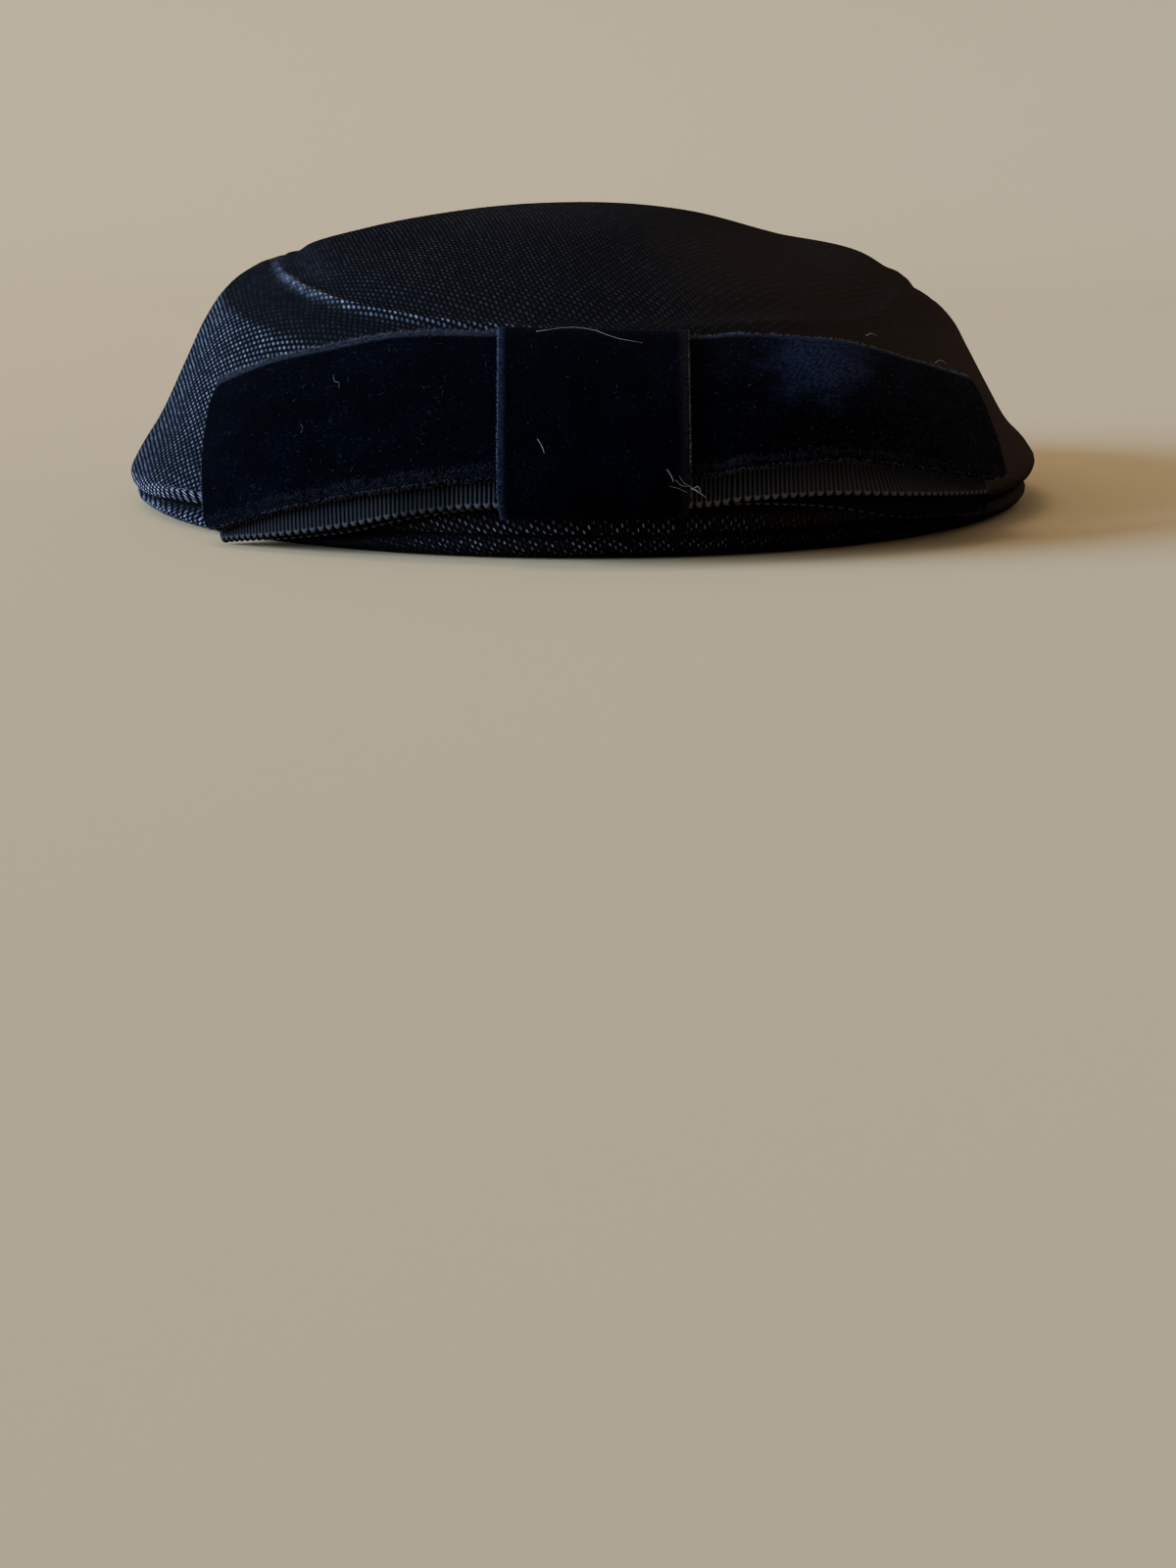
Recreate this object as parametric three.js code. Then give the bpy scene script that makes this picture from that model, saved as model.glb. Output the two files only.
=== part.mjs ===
// Pillbox hat in woven straw: a shallow domed crown with a pressed crest, a sloping wall, a rolled
// rim turned under to the head opening, a flat bow of two ribbons held by a knot, and an elastic.
// Millimetres. The front faces -Y, +Z is up, and the rim rests on the plane z = 0.
import * as THREE from 'three';

// Driving dimensions of the straw body
const STRAW_THICKNESS = 1.8;
const SEGMENTS_AROUND = 72;
const FRONT_FALL = 1.2;        // how the height passes from the side to the front
const BACK_FALL = 1.5;         // how it passes from the side to the back
const FIRM_BELOW = 20;         // the wall keeps its form up to this height
const SOFT_ABOVE = 40;         // and gives way fully at the dents above this one

// Driving dimensions of the bow
const VELVET_THICKNESS = 1.2;
const GROSGRAIN_THICKNESS = 1.0;
const CLEARANCE = 0.4;       // gap between the layers of the bow
const STEPS_ALONG_RIBBON = 34;
const STEPS_ACROSS_RIBBON = 4;
const FOLD_STEPS = 5;

// Driving dimensions of the elastic
const ELASTIC_DIAMETER = 1.8;
const ELASTIC_SIDES = 8;
const ELASTIC_STEPS = 76;
const BEND_STEPS = 4;
const ARC_STEPS = 9;

// The outer skin from the top of the crown to the head opening. The first four columns are the
// distance from the axis at the left, right, front and back, the next four the height there.
// The last says whether the inner skin follows this section, or passes over it.
const BODY = [
  // name, left, right, front, back, zLeft, zRight, zFront, zBack, inner skin follows
  ['tip_rise', 26, 26, 28, 28, 68.6, 67.8, 66.2, 68.0, true],
  ['tip_middle', 50, 50, 55, 52, 64.9, 61.9, 58.2, 64.2, true],
  ['tip_low', 65, 68, 73, 69, 60.9, 58.2, 50.0, 60.0, true],
  ['crest_inside', 71.8, 77.4, 82.0, 77.6, 57.2, 53.6, 44.7, 56.8, true],
  ['crest', 73.0, 78.6, 83.2, 78.8, 57.2, 53.4, 44.7, 56.7, false],
  ['crest_outside', 74.4, 79.6, 84.4, 80.2, 55.9, 51.4, 43.3, 55.3, true],
  ['shoulder', 81.6, 85.4, 86.8, 85.6, 53.4, 47.8, 40.4, 52.4, true],
  ['shoulder_low', 86.0, 89.6, 89.8, 89.0, 49.8, 43.2, 36.2, 48.4, true],
  ['wall_high', 90.4, 93.2, 93.8, 92.8, 43.8, 36.8, 30.4, 42.6, true],
  ['wall_middle', 95.6, 98.0, 98.4, 97.8, 33.6, 28.0, 23.8, 32.4, true],
  ['wall_low', 102.0, 103.4, 103.4, 103.0, 20.8, 19.0, 16.8, 20.4, true],
  ['rim_flare', 107.8, 108.6, 107.6, 107.8, 11.6, 13.4, 11.4, 11.8, true],
  ['rim_edge', 109.6, 110.2, 109.6, 109.6, 7.6, 10.2, 8.2, 8.2, true],
  ['rim_turn', 108.8, 109.0, 108.8, 108.8, 5.2, 7.6, 5.6, 5.6, false],
  ['groove', 106.0, 105.8, 106.8, 106.6, 4.4, 5.8, 4.8, 4.8, false],
  ['under_bulge', 108.2, 108.2, 108.2, 108.2, 3.0, 4.0, 3.4, 3.2, false],
  ['under_turn', 105.8, 106.6, 106.0, 106.0, 0.8, 1.2, 0.9, 0.8, false],
  ['foot_outside', 103.0, 103.4, 103.4, 103.4, 0, 0, 0, 0, true],
  ['foot_inside', 98.6, 98.6, 99.0, 99.0, 0, 0, 0, 0, true],
  ['underside', 90, 90, 94, 94, 0.9, 0.9, 0.9, 0.9, true],
  ['opening', 82, 82, 90, 90, 1.6, 1.6, 1.6, 1.6, true],
];
const INNER_FOLLOWS = 9;
const CROWN_TOP = 69.8;

// Soft dents pressed into the crown: centre, radius and depth
const DENTS = [
  // name, x, y, radius, depth
  ['front_right', 62, -44, 26, 4.0],
  ['right_shoulder', 83, -2, 9, 1.0],
];

// The bow's outer face, a row for each station from the left fold to the right fold. Each of its
// three edges is given by x, its distance from the axis and its height: the velvet's top edge, the
// velvet's low edge and the hem, which is where the grosgrain below it ends. The gape is how far
// the layers of each loop stand apart, and the drop how far the grosgrain's rear layer hangs lower.
const BOW = [
  // name, topX, topR, topZ, lowX, lowR, lowZ, hemX, hemR, hemZ, gape, drop
  ['left_fold', -79.2, 103.4, 32.2, -78.8, 118.0, 4.0, -78.4, 118.5, 2.3, 0.1, 0.1],
  ['left_far', -66.0, 100.2, 37.6, -64.0, 117.2, 9.5, -63.8, 118.2, 4.5, 0.2, 0.6],
  ['left_middle', -51.0, 96.6, 41.2, -49.2, 115.8, 13.4, -49.0, 117.4, 7.6, 0.2, 0.9],
  ['left_near', -37.0, 93.4, 43.8, -35.6, 115.2, 16.0, -35.6, 117.0, 10.8, 0.1, 0.4],
  ['knot_left', -18.4, 91.2, 44.2, -17.8, 115.0, 18.2, -17.8, 117.2, 13.3, 0, 0],
  ['knot_right', 22.4, 91.2, 43.5, 22.0, 115.4, 18.7, 22.0, 117.4, 13.0, 0, 0],
  ['right_near', 34.6, 93.2, 43.9, 34.2, 116.0, 20.1, 34.4, 117.8, 13.6, 0.1, 0.6],
  ['right_middle', 55.2, 97.6, 42.1, 53.0, 116.6, 20.8, 53.6, 118.2, 13.6, 0.5, 2.6],
  ['right_far', 71.0, 101.6, 37.6, 69.2, 117.0, 18.3, 71.4, 118.2, 11.9, 0.8, 5.2],
  ['right_fold', 85.8, 104.8, 32.8, 92.2, 117.4, 13.0, 93.0, 118.0, 9.8, 0.9, 4.8],
];
const LAST_STATION = BOW.length - 1;
const TOP_X = 1;             // columns where each edge's three values, the gape and the drop stand
const LOW_X = 4;
const HEM_X = 7;
const GAPE = 10;
const DROP = 11;
const GROSGRAIN_TOP = 9;          // how far the grosgrain's top edge lies below the velvet's
const GROSGRAIN_FROM = 0.004;     // share of the way along the bow where the grosgrain folds
const GROSGRAIN_TO = 0.985;
const VELVET_DEPTH = 2 * VELVET_THICKNESS + CLEARANCE;

// The knot is a band round both ribbons. Its middle line is given by the distance down from the
// velvet's top edge and the depth behind the velvet's outer face.
const KNOT = [
  // name, down, depth
  ['top', -1.2, 1.5],
  ['front_corner', -0.9, -0.5],
  ['front_top', 1.2, -1.0],
  ['front_high', 8, -1.0],
  ['front_middle', 20, -1.0],
  ['front_low', 32, -1.0],
  ['front_hem', 40, -0.6],
  ['bottom', 43.0, 2.8],
  ['back_hem', 42.3, 6.2],
  ['back_low', 36, 8.0],
  ['back_middle', 20, 8.6],
  ['back_high', 9, 7.4],
  ['back_step', 4.8, 5.5],
  ['back_top', -0.4, 4.1],
];
const KNOT_INSET = 0.03;      // share of a station by which the knot stands inside its two rows
const KNOT_FROM = (4 + KNOT_INSET) / LAST_STATION;
const KNOT_TO = (5 - KNOT_INSET) / LAST_STATION;
const KNOT_STEPS_ACROSS = 8;
const KNOT_STEPS_ROUND = 44;

// Route of the elastic: it leaves the edge of the opening at one side, comes down to the surface
// and lies round the back half of the opening to the other side, about 270 mm in all.
const ELASTIC_END = { x: 81.25, y: -6.0, z: 2.5 };
const ELASTIC_LAY = { halfWidth: 76.0, depth: 83.0, z: 1.0 };
const ELASTIC_BEND = 5.0;

const straw = new THREE.MeshStandardMaterial({ color: 0x15161c, roughness: 0.62, metalness: 0 });
const velvet = new THREE.MeshStandardMaterial({ color: 0x070912, roughness: 0.95, metalness: 0 });
const grosgrain = new THREE.MeshStandardMaterial({ color: 0x1c1b20, roughness: 0.75, metalness: 0 });
const elastic = new THREE.MeshStandardMaterial({ color: 0x121216, roughness: 0.8, metalness: 0 });

const vector = (x, y, z) => new THREE.Vector3(x, y, z);

// Signed volume of a triangle list, positive where the faces point out
function signedVolume(points, triangles) {
  let volume = 0;
  for (const [a, b, c] of triangles) {
    volume += points[a].dot(vector(0, 0, 0).crossVectors(points[b], points[c])) / 6;
  }
  return volume;
}

function meshFrom(name, points, triangles, material) {
  const out = signedVolume(points, triangles) > 0;
  const geometry = new THREE.BufferGeometry();
  geometry.setAttribute('position', new THREE.Float32BufferAttribute(points.flatMap((p) => p.toArray()), 3));
  geometry.setIndex(triangles.flatMap(([a, b, c]) => (out ? [a, b, c] : [a, c, b])));
  geometry.computeVertexNormals();
  const mesh = new THREE.Mesh(geometry, material);
  mesh.name = name;
  return mesh;
}

// Two triangles for each cell between neighbouring rings of points
function joinRings(firstStart, secondStart, count) {
  const triangles = [];
  for (let i = 0; i < count; i += 1) {
    const next = (i + 1) % count;
    triangles.push([firstStart + i, firstStart + next, secondStart + i]);
    triangles.push([firstStart + next, secondStart + next, secondStart + i]);
  }
  return triangles;
}

// A closed ring of sections, such as a ribbon sewn into a loop
function ringSolid(name, sections, material) {
  const count = sections[0].length;
  const points = sections.flat();
  const triangles = sections.flatMap((section, i) => {
    const next = (i + 1) % sections.length;
    return joinRings(i * count, next * count, count);
  });
  return meshFrom(name, points, triangles, material);
}

// A row of sections with a flat cap at both ends
function barSolid(name, sections, material) {
  const count = sections[0].length;
  const points = sections.flat();
  const triangles = [];
  for (let i = 0; i + 1 < sections.length; i += 1) {
    triangles.push(...joinRings(i * count, (i + 1) * count, count));
  }
  const last = (sections.length - 1) * count;
  for (let i = 1; i + 1 < count; i += 1) {
    triangles.push([0, i + 1, i]);
    triangles.push([last, last + i, last + i + 1]);
  }
  return meshFrom(name, points, triangles, material);
}

function dentDepth(x, y) {
  return DENTS.reduce((sum, [, centreX, centreY, radius, depth]) => {
    const distance = Math.hypot(x - centreX, y - centreY) / radius;
    return sum + depth * Math.exp(-distance * distance);
  }, 0);
}

// A point of a body section at an angle, 0 at the front and positive towards the right
function sectionPoint(section, angle) {
  const [, left, right, front, back, zLeft, zRight, zFront, zBack] = section;
  const side = Math.sin(angle);
  const ahead = Math.cos(angle);
  const x = (side < 0 ? left : right) * side;
  const y = -(ahead > 0 ? front : back) * ahead;
  const zSide = zLeft + ((zRight - zLeft) * (1 + side)) / 2;
  const zEnd = ahead > 0 ? zFront : zBack;
  const share = Math.abs(ahead) ** (ahead > 0 ? FRONT_FALL : BACK_FALL);
  return vector(x, y, zSide + (zEnd - zSide) * share);
}

// The crown gives way at its dents, and the rim below it doesn't
function pressed(point) {
  const give = THREE.MathUtils.smoothstep(point.z, FIRM_BELOW, SOFT_ABOVE);
  return vector(point.x, point.y, point.z - give * dentDepth(point.x, point.y));
}

// The inner skin lies one thickness inside the outer one, square to the line down the hat
function innerPoint(sections, i, angle) {
  const above = i > 0 ? sectionPoint(sections[i - 1], angle) : vector(0, 0, CROWN_TOP);
  const here = sectionPoint(sections[i], angle);
  const below = sectionPoint(sections[Math.min(i + 1, sections.length - 1)], angle);
  const along = below.sub(above);
  const outward = vector(here.x, here.y, 0).normalize();
  const run = along.dot(outward);
  const length = Math.hypot(run, along.z);
  return here.clone()
    .addScaledVector(outward, (along.z / length) * STRAW_THICKNESS)
    .add(vector(0, 0, (-run / length) * STRAW_THICKNESS));
}

function hatBody() {
  const angles = Array.from({ length: SEGMENTS_AROUND }, (_, i) => (2 * Math.PI * i) / SEGMENTS_AROUND);
  const followed = BODY.filter((section) => section[INNER_FOLLOWS]);
  const outerRings = BODY.map((section) => angles.map((angle) => pressed(sectionPoint(section, angle))));
  const innerRings = followed.map((_, i) => angles.map((angle) => pressed(innerPoint(followed, i, angle))));
  const rings = [...outerRings, ...innerRings.reverse()];
  const points = [vector(0, 0, CROWN_TOP), ...rings.flat(), vector(0, 0, CROWN_TOP - STRAW_THICKNESS)];
  const triangles = [];
  const lastRing = 1 + (rings.length - 1) * SEGMENTS_AROUND;
  for (let i = 0; i < SEGMENTS_AROUND; i += 1) {
    const next = (i + 1) % SEGMENTS_AROUND;
    triangles.push([0, 1 + next, 1 + i]);
    triangles.push([points.length - 1, lastRing + i, lastRing + next]);
  }
  for (let ring = 0; ring + 1 < rings.length; ring += 1) {
    const start = 1 + ring * SEGMENTS_AROUND;
    triangles.push(...joinRings(start, start + SEGMENTS_AROUND, SEGMENTS_AROUND));
  }
  return meshFrom('hat_body', points, triangles, straw);
}

// A smooth curve through the values of one column, at a share of the way along the rows
function columnAt(column, share) {
  const place = share * LAST_STATION;
  const i = Math.min(Math.floor(place), LAST_STATION - 1);
  const value = (k) => BOW[THREE.MathUtils.clamp(k, 0, LAST_STATION)][column];
  const t = place - i;
  const startSlope = (value(i + 1) - value(i - 1)) / 2;
  const endSlope = (value(i + 2) - value(i)) / 2;
  return (2 * t ** 3 - 3 * t ** 2 + 1) * value(i) + (t ** 3 - 2 * t ** 2 + t) * startSlope
    + (3 * t ** 2 - 2 * t ** 3) * value(i + 1) + (t ** 3 - t ** 2) * endSlope;
}

// One of the three edges of the outer face, named by its first column
function edgeAt(column, share) {
  const [x, radius, z] = [0, 1, 2].map((step) => columnAt(column + step, share));
  return vector(x, -Math.sqrt(radius * radius - x * x), z);
}

// How far down the outer face the velvet's low edge and the hem lie
function edgeDistances(share) {
  const [top, low, hem] = [TOP_X, LOW_X, HEM_X].map((column) => edgeAt(column, share));
  const velvetLow = top.distanceTo(low);
  return { velvetLow, hem: velvetLow + low.distanceTo(hem) };
}

// A point of the outer face, on the parabola through its three edges
function facePoint(share, down) {
  const [top, low, hem] = [TOP_X, LOW_X, HEM_X].map((column) => edgeAt(column, share));
  const { velvetLow: a, hem: b } = edgeDistances(share);
  return top.multiplyScalar(((down - a) * (down - b)) / (a * b))
    .addScaledVector(low, (down * (down - b)) / (a * (a - b)))
    .addScaledVector(hem, (down * (down - a)) / (b * (b - a)));
}

// A point behind the outer face, square to it
function behindFace(share, down, depth) {
  const step = 0.01;
  const from = Math.max(share - step, 0);
  const to = Math.min(share + step, 1);
  const along = facePoint(to, down).sub(facePoint(from, down));
  const across = facePoint(share, down + step).sub(facePoint(share, down - step));
  const outward = vector(0, 0, 0).crossVectors(across, along).normalize();
  return facePoint(share, down).addScaledVector(outward, -depth);
}

// Middle line across one layer of the velvet or the grosgrain at a station
function velvetLine(share, isFront) {
  const spread = isFront ? 0 : VELVET_THICKNESS + CLEARANCE + columnAt(GAPE, share);
  return acrossLine(share, 0, edgeDistances(share).velvetLow, VELVET_THICKNESS / 2 + spread);
}

function grosgrainLine(share, isFront) {
  const gape = columnAt(GAPE, share);
  const spread = isFront ? 0 : GROSGRAIN_THICKNESS + CLEARANCE + gape;
  const drop = isFront ? 0 : columnAt(DROP, share);
  const depth = VELVET_DEPTH + gape + CLEARANCE + GROSGRAIN_THICKNESS / 2 + spread;
  return acrossLine(share, GROSGRAIN_TOP, edgeDistances(share).hem + drop, depth);
}

function acrossLine(share, top, bottom, depth) {
  return Array.from({ length: STEPS_ACROSS_RIBBON + 1 }, (_, i) => {
    const down = top + ((bottom - top) * i) / STEPS_ACROSS_RIBBON;
    return behindFace(share, down, depth);
  });
}

// Half a turn from one layer's end to the other's
function foldLines(from, to, outward) {
  const lines = [];
  for (let step = 1; step < FOLD_STEPS; step += 1) {
    const turn = (Math.PI * step) / FOLD_STEPS;
    lines.push(from.map((start, i) => {
      const middle = start.clone().lerp(to[i], 0.5);
      const half = start.clone().sub(middle);
      return middle.addScaledVector(half, Math.cos(turn))
        .addScaledVector(outward, half.length() * Math.sin(turn));
    }));
  }
  return lines;
}

function ribbonLoop(name, lineAt, from, to, thickness, material) {
  const shares = Array.from(
    { length: STEPS_ALONG_RIBBON + 1 },
    (_, i) => from + ((to - from) * i) / STEPS_ALONG_RIBBON,
  );
  const front = shares.map((share) => lineAt(share, true));
  const back = shares.map((share) => lineAt(share, false)).reverse();
  const last = front.length - 1;
  const middle = STEPS_ACROSS_RIBBON / 2;
  const rightOut = front[last][middle].clone().sub(front[last - 1][middle]).normalize();
  const leftOut = front[0][middle].clone().sub(front[1][middle]).normalize();
  const lines = [
    ...front,
    ...foldLines(front[last], back[0], rightOut),
    ...back,
    ...foldLines(back[last], front[0], leftOut),
  ];
  const sections = lines.map((line, k) => {
    const before = lines[(k - 1 + lines.length) % lines.length];
    const after = lines[(k + 1) % lines.length];
    const normals = line.map((_, i) => {
      const along = after[i].clone().sub(before[i]);
      const across = line[Math.min(i + 1, line.length - 1)].clone().sub(line[Math.max(i - 1, 0)]);
      return vector(0, 0, 0).crossVectors(across, along).normalize();
    });
    const outer = line.map((p, i) => p.clone().addScaledVector(normals[i], thickness / 2));
    const inner = line.map((p, i) => p.clone().addScaledVector(normals[i], -thickness / 2));
    return [...outer, ...inner.reverse()];
  });
  return ringSolid(name, sections, material);
}

function velvetKnot() {
  const line = new THREE.CatmullRomCurve3(KNOT.map(([, down, depth]) => vector(down, depth, 0)), true);
  const round = line.getSpacedPoints(KNOT_STEPS_ROUND).slice(0, KNOT_STEPS_ROUND);
  const shares = Array.from(
    { length: KNOT_STEPS_ACROSS + 1 },
    (_, i) => KNOT_FROM + ((KNOT_TO - KNOT_FROM) * i) / KNOT_STEPS_ACROSS,
  );
  const sections = round.map((p, k) => {
    const before = round[(k - 1 + round.length) % round.length];
    const after = round[(k + 1) % round.length];
    const along = after.clone().sub(before).normalize();
    const half = vector(along.y, -along.x, 0).multiplyScalar(VELVET_THICKNESS / 2);
    const outer = shares.map((share) => behindFace(share, p.x + half.x, p.y + half.y));
    const inner = shares.map((share) => behindFace(share, p.x - half.x, p.y - half.y));
    return [...outer, ...inner.reverse()];
  });
  return ringSolid('velvet_knot', sections, velvet);
}

// The elastic's route, from the right edge of the opening round the back to the left edge
function elasticRoute() {
  const { halfWidth, depth, z } = ELASTIC_LAY;
  const bendX = halfWidth + ELASTIC_BEND;
  const right = [vector(ELASTIC_END.x, ELASTIC_END.y, ELASTIC_END.z)];
  for (let step = 1; step <= BEND_STEPS; step += 1) {
    const turn = (Math.PI / 2) * (step / BEND_STEPS);
    const sunk = Math.min(1, step / (BEND_STEPS - 1));
    right.push(vector(
      bendX - ELASTIC_BEND * Math.sin(turn),
      ELASTIC_END.y + ELASTIC_BEND * (1 - Math.cos(turn)),
      ELASTIC_END.z + (z - ELASTIC_END.z) * sunk,
    ));
  }
  for (let step = 1; step <= ARC_STEPS; step += 1) {
    const turn = (Math.PI / 2) * (step / ARC_STEPS);
    right.push(vector(halfWidth * Math.cos(turn), depth * Math.sin(turn), z));
  }
  const left = right.slice(0, -1).reverse().map((p) => vector(-p.x, p.y, p.z));
  return [...right, ...left];
}

function headElastic() {
  const route = new THREE.CatmullRomCurve3(elasticRoute());
  const sections = [];
  for (let step = 0; step <= ELASTIC_STEPS; step += 1) {
    const centre = route.getPointAt(step / ELASTIC_STEPS);
    const along = route.getTangentAt(step / ELASTIC_STEPS);
    const level = vector(0, 0, 0).crossVectors(along, vector(0, 0, 1)).normalize();
    const up = vector(0, 0, 0).crossVectors(level, along).normalize();
    sections.push(Array.from({ length: ELASTIC_SIDES }, (_, i) => {
      const turn = (2 * Math.PI * (i + 0.5)) / ELASTIC_SIDES;
      return centre.clone()
        .addScaledVector(level, (ELASTIC_DIAMETER / 2) * Math.cos(turn))
        .addScaledVector(up, (ELASTIC_DIAMETER / 2) * Math.sin(turn));
    }));
  }
  return barSolid('head_elastic', sections, elastic);
}

const group = new THREE.Group();
group.add(hatBody());
group.add(ribbonLoop('velvet_bow', velvetLine, 0, 1, VELVET_THICKNESS, velvet));
group.add(ribbonLoop(
  'grosgrain_bow', grosgrainLine, GROSGRAIN_FROM, GROSGRAIN_TO, GROSGRAIN_THICKNESS, grosgrain,
));
group.add(velvetKnot());

// The origin is the middle of the hat and bow, on the plane that the rim rests on
const middle = new THREE.Box3().setFromObject(group).getCenter(vector(0, 0, 0));
group.position.set(-middle.x, -middle.y, 0);
group.add(headElastic());

export default group;
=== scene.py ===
"""Looks of a pillbox hat in woven straw, with a flat bow of velvet and grosgrain ribbon and a head elastic.

Lengths are in millimetres and become metres where a mesh is made. The front faces -Y, +Z is up, and
angles round the hat are 0 at the front and positive towards the right.
"""

import math

import bpy
import numpy as np
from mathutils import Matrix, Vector


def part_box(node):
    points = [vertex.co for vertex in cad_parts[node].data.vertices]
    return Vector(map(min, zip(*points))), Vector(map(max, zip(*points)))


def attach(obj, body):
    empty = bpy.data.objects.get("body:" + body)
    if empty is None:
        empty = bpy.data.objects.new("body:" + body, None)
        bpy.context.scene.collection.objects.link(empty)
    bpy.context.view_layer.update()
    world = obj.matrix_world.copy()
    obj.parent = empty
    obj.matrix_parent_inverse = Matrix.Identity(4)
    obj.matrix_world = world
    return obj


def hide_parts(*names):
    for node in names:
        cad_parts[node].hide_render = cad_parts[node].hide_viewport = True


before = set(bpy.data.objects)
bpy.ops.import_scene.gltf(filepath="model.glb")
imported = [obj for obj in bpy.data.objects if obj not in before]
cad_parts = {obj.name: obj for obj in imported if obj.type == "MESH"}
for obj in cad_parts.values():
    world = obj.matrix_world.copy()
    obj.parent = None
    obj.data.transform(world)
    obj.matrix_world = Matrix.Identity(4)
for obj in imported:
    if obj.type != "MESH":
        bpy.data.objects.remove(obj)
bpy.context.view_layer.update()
MM = 0.001

# The straw body: distance from the axis at the left, right, front and back, and the height there
BODY = [
    # name, left, right, front, back, zLeft, zRight, zFront, zBack, inner skin follows
    ("top", 0, 0, 0, 0, 69.8, 69.8, 69.8, 69.8, True),
    ("tip_rise", 26, 26, 28, 28, 68.6, 67.8, 66.2, 68.0, True),
    ("tip_middle", 50, 50, 55, 52, 64.9, 61.9, 58.2, 64.2, True),
    ("tip_low", 65, 68, 73, 69, 60.9, 58.2, 50.0, 60.0, True),
    ("crest_inside", 71.8, 77.4, 82.0, 77.6, 57.2, 53.6, 44.7, 56.8, True),
    ("crest", 73.0, 78.6, 83.2, 78.8, 57.2, 53.4, 44.7, 56.7, False),
    ("crest_outside", 74.4, 79.6, 84.4, 80.2, 55.9, 51.4, 43.3, 55.3, True),
    ("shoulder", 81.6, 85.4, 86.8, 85.6, 53.4, 47.8, 40.4, 52.4, True),
    ("shoulder_low", 86.0, 89.6, 89.8, 89.0, 49.8, 43.2, 36.2, 48.4, True),
    ("wall_high", 90.4, 93.2, 93.8, 92.8, 43.8, 36.8, 30.4, 42.6, True),
    ("wall_middle", 95.6, 98.0, 98.4, 97.8, 33.6, 28.0, 23.8, 32.4, True),
    ("wall_low", 102.0, 103.4, 103.4, 103.0, 20.8, 19.0, 16.8, 20.4, True),
    ("rim_flare", 107.8, 108.6, 107.6, 107.8, 11.6, 13.4, 11.4, 11.8, True),
    ("rim_edge", 109.6, 110.2, 109.6, 109.6, 7.6, 10.2, 8.2, 8.2, True),
    ("rim_turn", 108.8, 109.0, 108.8, 108.8, 5.2, 7.6, 5.6, 5.6, False),
    ("groove", 106.0, 105.8, 106.8, 106.6, 4.4, 5.8, 4.8, 4.8, False),
    ("under_bulge", 108.2, 108.2, 108.2, 108.2, 3.0, 4.0, 3.4, 3.2, False),
    ("under_turn", 105.8, 106.6, 106.0, 106.0, 0.8, 1.2, 0.9, 0.8, False),
    ("foot_outside", 103.0, 103.4, 103.4, 103.4, 0, 0, 0, 0, True),
    ("foot_inside", 98.6, 98.6, 99.0, 99.0, 0, 0, 0, 0, True),
    ("underside", 90, 90, 94, 94, 0.9, 0.9, 0.9, 0.9, True),
    ("opening", 82, 82, 90, 90, 1.6, 1.6, 1.6, 1.6, True),
]
ROW = {row[0]: i for i, row in enumerate(BODY)}
STRAW_THICKNESS = 1.8
FRONT_FALL = 1.2            # power by which a section falls from the side to the front
BACK_FALL = 1.5             # and to the back
SIDE_SOFTNESS = 0.08        # rounds that fall off at the side
FIRM_BELOW = 20             # height up to which the wall takes no dent
SOFT_ABOVE = 40             # height from which it takes the whole of it
DENTS = [
    # name, x, y, radius, depth
    ("front_right", 62, -44, 26, 4.0),
    ("right_shoulder", 83, -2, 9, 1.0),
    ("tip_left", -44, 12, 24, 0.8),
    ("tip_far_left", -60, 2, 9, 0.5),
]
HAT_SEGMENTS = 420
OUTER_STEP = 1.35           # distance between rings of the outer and of the inner skin
INNER_STEP = 2.2

# The bow's outer face at each station: x, distance from the axis and height of the velvet's top edge, of
# its lower edge and of the grosgrain's hem, how far the layers part, and how far the rear one hangs lower
BOW = [
    # name, topX, topR, topZ, lowX, lowR, lowZ, hemX, hemR, hemZ, gape, drop
    ("left_fold", -79.2, 103.4, 32.2, -78.8, 118.0, 4.0, -78.4, 118.5, 2.3, 0.1, 0.1),
    ("left_far", -66.0, 100.2, 37.6, -64.0, 117.2, 9.5, -63.8, 118.2, 4.5, 0.2, 0.6),
    ("left_middle", -51.0, 96.6, 41.2, -49.2, 115.8, 13.4, -49.0, 117.4, 7.6, 0.2, 0.9),
    ("left_near", -37.0, 93.4, 43.8, -35.6, 115.2, 16.0, -35.6, 117.0, 10.8, 0.1, 0.4),
    ("knot_left", -18.4, 91.2, 44.2, -17.8, 115.0, 18.2, -17.8, 117.2, 13.3, 0, 0),
    ("knot_right", 22.4, 91.2, 43.5, 22.0, 115.4, 18.7, 22.0, 117.4, 13.0, 0, 0),
    ("right_near", 34.6, 93.2, 43.9, 34.2, 116.0, 20.1, 34.4, 117.8, 13.6, 0.1, 0.6),
    ("right_middle", 55.2, 97.6, 42.1, 53.0, 116.6, 20.8, 53.6, 118.2, 13.6, 0.5, 2.6),
    ("right_far", 71.0, 101.6, 37.6, 69.2, 117.0, 18.3, 71.4, 118.2, 11.9, 0.8, 5.2),
    ("right_fold", 85.8, 104.8, 32.8, 92.2, 117.4, 13.0, 93.0, 118.0, 9.8, 0.9, 4.8),
]
BOW_COLUMNS = np.array([row[1:] for row in BOW], float)
LAST_STATION = len(BOW) - 1
TOP, LOW, HEM, GAPE, DROP = 0, 3, 6, 9, 10
VELVET_THICKNESS = 1.2
GROSGRAIN_THICKNESS = 1.0
CLEARANCE = 0.4
BOW_LENGTH = 190
TOP_CORNERS = (3.2, 1.8)    # radii of the velvet's corners at the left and at the right fold
LOW_CORNERS = (1.6, 1.2)
GROSGRAIN_TOP = 9           # how far below the velvet's top edge the grosgrain starts behind it
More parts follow.
